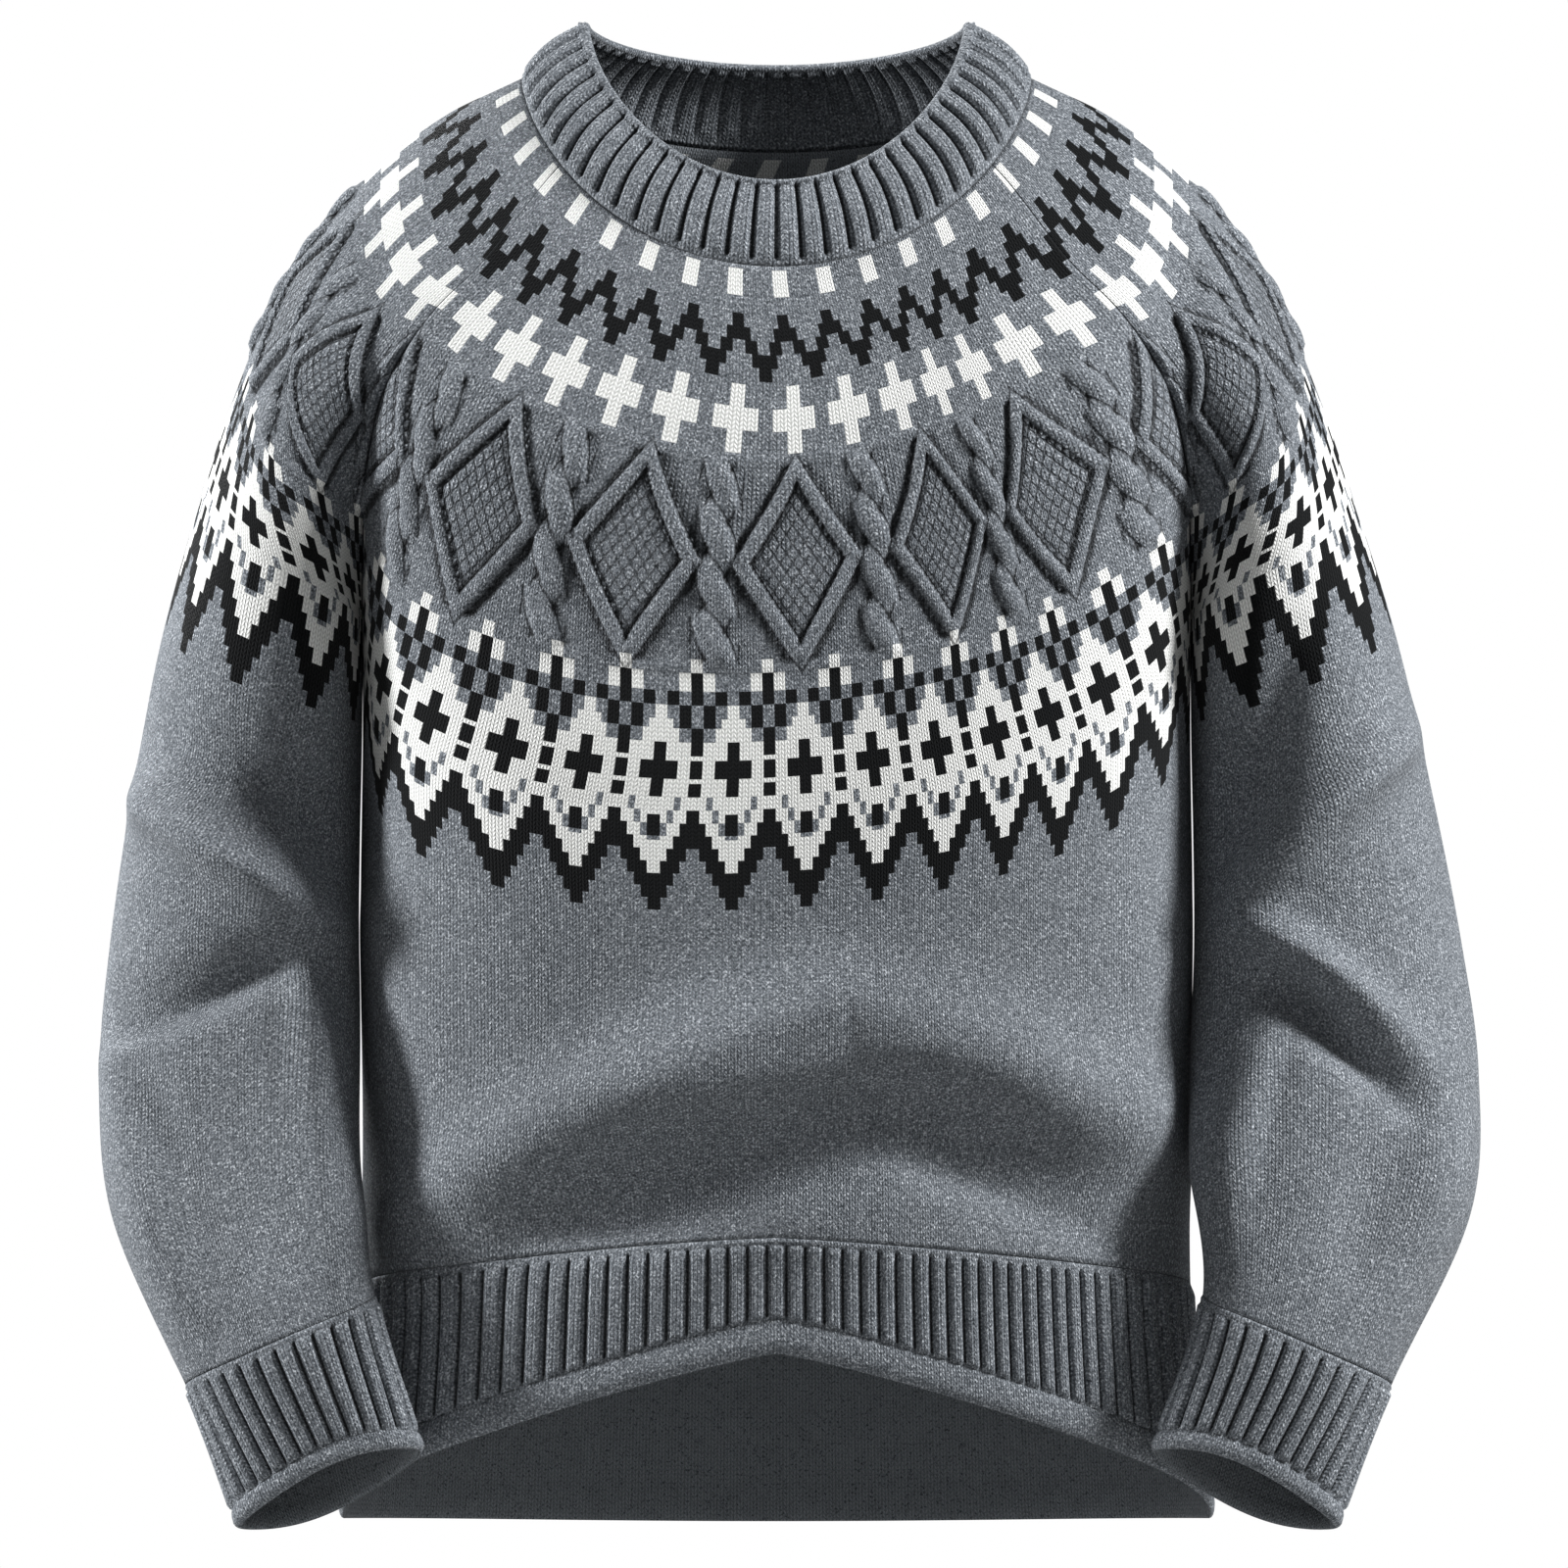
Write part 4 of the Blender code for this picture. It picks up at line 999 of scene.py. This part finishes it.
def ramp(value, low, high, to_low=0.0, to_high=1.0):
    """Value eased from one range into another, and held at its ends."""
    return join_node("ShaderNodeMapRange", {0: value, 1: low, 2: high, 3: to_low, 4: to_high},
                     interpolation_type="SMOOTHSTEP").outputs[0]


def map_place(tree, uv_map):
    """Both coordinates of a UV map."""
    place = add_node(tree, "ShaderNodeUVMap", uv_map=uv_map).outputs[0]
    return join_node("ShaderNodeSeparateXYZ", {0: place}).outputs[:2]


def stitch_height(tree):
    """Height of a plain knitted face: columns of Vs whose legs swell and dip, from 0 to 1."""
    across, down = map_place(tree, "stitches")
    off_middle = absolute(subtract(fraction(across), 0.5))
    leg = sine(multiply(off_middle, 2 * math.pi))
    wave = cosine(multiply(multiply_add(off_middle, LEG_SLANT, down), 2 * math.pi))
    return multiply(power(leg, LEG_ROUNDNESS), multiply_add(wave, LEG_DIP, 1 - LEG_DIP))


def diamond_detail(tree):
    """Height of the small cells inside the diamonds, and the grooves along both sides of their ridges; the
    wool darkens both with painted shade.
    """
    x, y = map_place(tree, "motifs")
    reach = add(multiply(absolute(x), DIAMOND_REACH / DIAMOND_HALF_WIDTH),
                multiply(absolute(y), DIAMOND_REACH / DIAMOND_HALF_HEIGHT))
    inside = ramp(reach, DIAMOND_REACH - 5.6, DIAMOND_REACH - 4.2, 1.0, 0.0)
    off = absolute(subtract(reach, DIAMOND_REACH))
    lines = ramp(absolute(subtract(off, RIDGE_HALF + 0.7)), 0.2, 0.9, 1.0, 0.0)
    across = cosine(multiply(x, 2 * math.pi / HONEYCOMB[0]))
    down = cosine(multiply(y, 2 * math.pi / HONEYCOMB[1]))
    cells = absolute(multiply(add(across, down), 0.5))
    dip = multiply(ramp(cells, 0.02, 0.4, 1.0, 0.0), inside)
    return subtract(1.0, dip), lines


def strand_edge(off, y, lean, shift):
    """How near a point is to the edge of a cable's strand (reach 1), and whether it is outside it."""
    step = multiply_add(y, 1 / STRAND_STEP, shift)
    rise = multiply(subtract(step, whole(step)), STRAND_STEP)
    cos, sin = math.cos(STRAND_LEAN), lean * math.sin(STRAND_LEAN)
    along = multiply_add(off, sin / STRAND_HALF[0], multiply(rise, cos / STRAND_HALF[0]))
    across = multiply_add(off, cos / STRAND_HALF[1], multiply(rise, -sin / STRAND_HALF[1]))
    reach = square_root(multiply_add(along, along, multiply(across, across)))
    edge = absolute(subtract(reach, 1.06))
    return ramp(edge, 0.03, 0.16, 1.0, 0.0), ramp(reach, 0.95, 1.05)


def cable_grooves(tree):
    """Grooves round the strands of the cables, 1 in a groove and 0 elsewhere; the wool darkens them with
    painted shade.
    """
    x, y = map_place(tree, "motifs")
    off = multiply_add(sign(x), -REPEAT_WIDTH / 2, x)
    over, outside = strand_edge(off, y, 1, 0.5)
    under = strand_edge(off, y, -1, 0.0)[0]
    line = maximum(over, multiply(under, outside))
    within = ramp(absolute(off), 11.0, 12.5, 1.0, 0.0)
    ends = ramp(absolute(y), DIAMOND_HALF_HEIGHT, DIAMOND_HALF_HEIGHT + 4, 1.0, 0.0)
    return multiply(line, multiply(within, ends))


def fibres(tree, colours):
    """Fibres of several greys carded together: flecks under a millimetre and cloudier patches."""
    place = add_node(tree, "ShaderNodeTexCoord").outputs["Object"]
    flecks = join_node("ShaderNodeTexNoise",
                       {"Vector": place, "Scale": 900.0, "Detail": 3.0, "Roughness": 0.7}).outputs[0]
    clouds = join_node("ShaderNodeTexNoise",
                       {"Vector": place, "Scale": 140.0, "Detail": 2.0, "Roughness": 0.5}).outputs[0]
    middle, light, dark = (linear(colour) for colour in colours)
    wool_colour = mix_colours(ramp(flecks, 0.5, 0.7), middle, light)
    wool_colour = mix_colours(ramp(flecks, 0.5, 0.3), wool_colour, dark)
    return darken(wool_colour, multiply_add(clouds, CLOUD_RANGE, 1 - CLOUD_RANGE / 2)), flecks


def neck_floats(tree):
    """Slanting ends of the white yarn that show on the wrong side, just below the neck seam."""
    across, down = map_place(tree, "stitches")
    place = multiply_add(multiply_add(down, FLOAT_SLANT, across), 1 / len(DASH_CHART[0][1]), 0.5)
    dash = ramp(absolute(subtract(fraction(place), 0.5)), 0.16, 0.2, 1.0, 0.0)
    in_rows = compare(down, DASH_ROW + 3.2, 2.2)
    return multiply(multiply(dash, in_rows), FLOAT_STRENGTH)


def new_material(name):
    """New material and its shader."""
    material = bpy.data.materials.new(name)
    material.use_nodes = True
    return material, material.node_tree.nodes["Principled BSDF"]


def wool(name, colours, patterned=False, floats=False):
    """Fine heather wool; the colours are its middle, light and dark fibres."""
    material, shader = new_material(name)
    tree = material.node_tree
    colour, flecks = fibres(tree, colours)
    stitches = stitch_height(tree)
    height = stitches
    if patterned:
        yarn = add_node(tree, "ShaderNodeAttribute", attribute_name="yarn").outputs["Fac"]
        colour = mix_colours(compare(yarn, 0.5, 0.1), colour, linear(OFF_WHITE))
        colour = mix_colours(compare(yarn, 1.0, 0.1), colour, linear(BLACK))
        # Painted shade in the hollows of the honeycomb cells and in the grooves beside the diamonds' ridges
        cells, ridge_grooves = diamond_detail(tree)
        colour = darken(colour, multiply_add(cells, CELL_SHADE, 1 - CELL_SHADE))
        # Painted shade in the grooves round the cable strands
        lines = maximum(cable_grooves(tree), ridge_grooves)
        colour = darken(colour, multiply_add(lines, -LINE_SHADE, 1.0))
        height = multiply_add(cells, DETAIL_RELIEF, height)
        height = multiply_add(lines, -DETAIL_RELIEF, height)
    if floats:
        colour = mix_colours(neck_floats(tree), colour, linear(OFF_WHITE))
    # Less light reaches the hollows between stitches, and the furrows of ribs, cables and diamonds
    colour = darken(colour, multiply_add(stitches, STITCH_SHADE, STITCH_DARKEST))
    hollow = add_node(tree, "ShaderNodeAttribute", attribute_name="hollow").outputs["Fac"]
    colour = darken(colour, ramp(hollow, 0.1, 1.0, 1.0, FURROW_DARKEST))
    fuzz = multiply_add(flecks, FUZZ_RELIEF, height)
    bump = join_node("ShaderNodeBump", {"Strength": 0.9, "Distance": STITCH_RELIEF * MM, "Height": fuzz})
    set_inputs(shader, {"Base Color": colour, "Normal": bump.outputs[0], "Roughness": 0.92,
                        "Specular IOR Level": 0.1, "Sheen Weight": 0.03, "Sheen Roughness": 0.6})
    return material


def paper_studio():
    """Grey paper floor in white air, and lights that are all aimed at the middle of the sweater."""
    bpy.ops.mesh.primitive_plane_add(size=1.0, location=(0, 0, FLOOR_Z))
    floor = bpy.context.object
    floor.name = "floor"
    floor.scale = FLOOR_SIZE
    bpy.ops.object.transform_apply(scale=True)
    paper, shader = new_material("grey_paper")
    set_inputs(shader, {"Base Color": linear(FLOOR_GREY), "Roughness": 0.9})
    floor.data.materials.append(paper)
    for name, x, y, z, width, height, watts in LIGHTS:
        light = bpy.data.lights.new(name, "AREA")
        light.shape = "RECTANGLE"
        light.size = width
        light.size_y = height
        light.energy = watts
        lamp = add_object(name, light)
        lamp.location = (x, y, z)
        aim = Vector((0, 0, MIDDLE_Z)) - lamp.location
        lamp.rotation_euler = aim.to_track_quat("-Z", "Y").to_euler()
    world = bpy.data.worlds.new("white_air")
    world.use_nodes = True
    seen = add_node(world.node_tree, "ShaderNodeLightPath").outputs["Is Camera Ray"]
    strength = multiply_add(seen, 1.0 - AIR_STRENGTH, AIR_STRENGTH)
    set_inputs(world.node_tree.nodes["Background"], {"Strength": strength, "Color": (1.0, 1.0, 1.0, 1.0)})
    bpy.context.scene.world = world
    bpy.context.scene.view_settings.view_transform = "Standard"


def level_camera():
    """Level camera with a long lens, in front of the middle of the sweater."""
    lens = bpy.data.cameras.new("front_camera")
    lens.lens = LENS
    lens.sensor_width = SENSOR
    camera = add_object("front_camera", lens)
    camera.location = CAMERA_PLACE
    camera.rotation_euler = (math.radians(90), 0.0, 0.0)
    bpy.context.scene.camera = camera


# Flat pieces as they come off the machine: greatest width and length in metres, and the area of the cut
SHEETS = [
    ("front", 0.56, 0.46, 0.219),
    ("back", 0.51, 0.54, 0.228),
    ("sleeve_left", 0.38, 0.6, 0.178),
    ("sleeve_right", 0.38, 0.6, 0.178),
    ("hem_front", 0.53, 0.11, 0.04),
    ("hem_back", 0.5, 0.11, 0.052),
    ("cuff_left", 0.27, 0.075, 0.018),
    ("cuff_right", 0.27, 0.075, 0.018),
    ("collar", 0.7, 0.047, 0.028),
]


def declare():
    """Hide the solid that each knitted piece stands for."""
    for name, width, length, area in SHEETS:
        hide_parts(name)


outer_wool = wool("fine_wool_face", (GREY, GREY_LIGHT, GREY_DARK), patterned=True)
inner_wool = wool("fine_wool_inside", (INSIDE_GREY, GREY, GREY_DARK), floats=True)
rib_inside = wool("ribbed_wool_inside", (INSIDE_GREY, GREY, GREY_DARK))
rib_wool = wool("ribbed_wool", (GREY, GREY_LIGHT, GREY_DARK))
build_panels([outer_wool, inner_wool])
build_hem([rib_wool, rib_inside])
build_cuffs([rib_wool, rib_inside])
build_collar([rib_wool, rib_wool])
declare()
paper_studio()
level_camera()
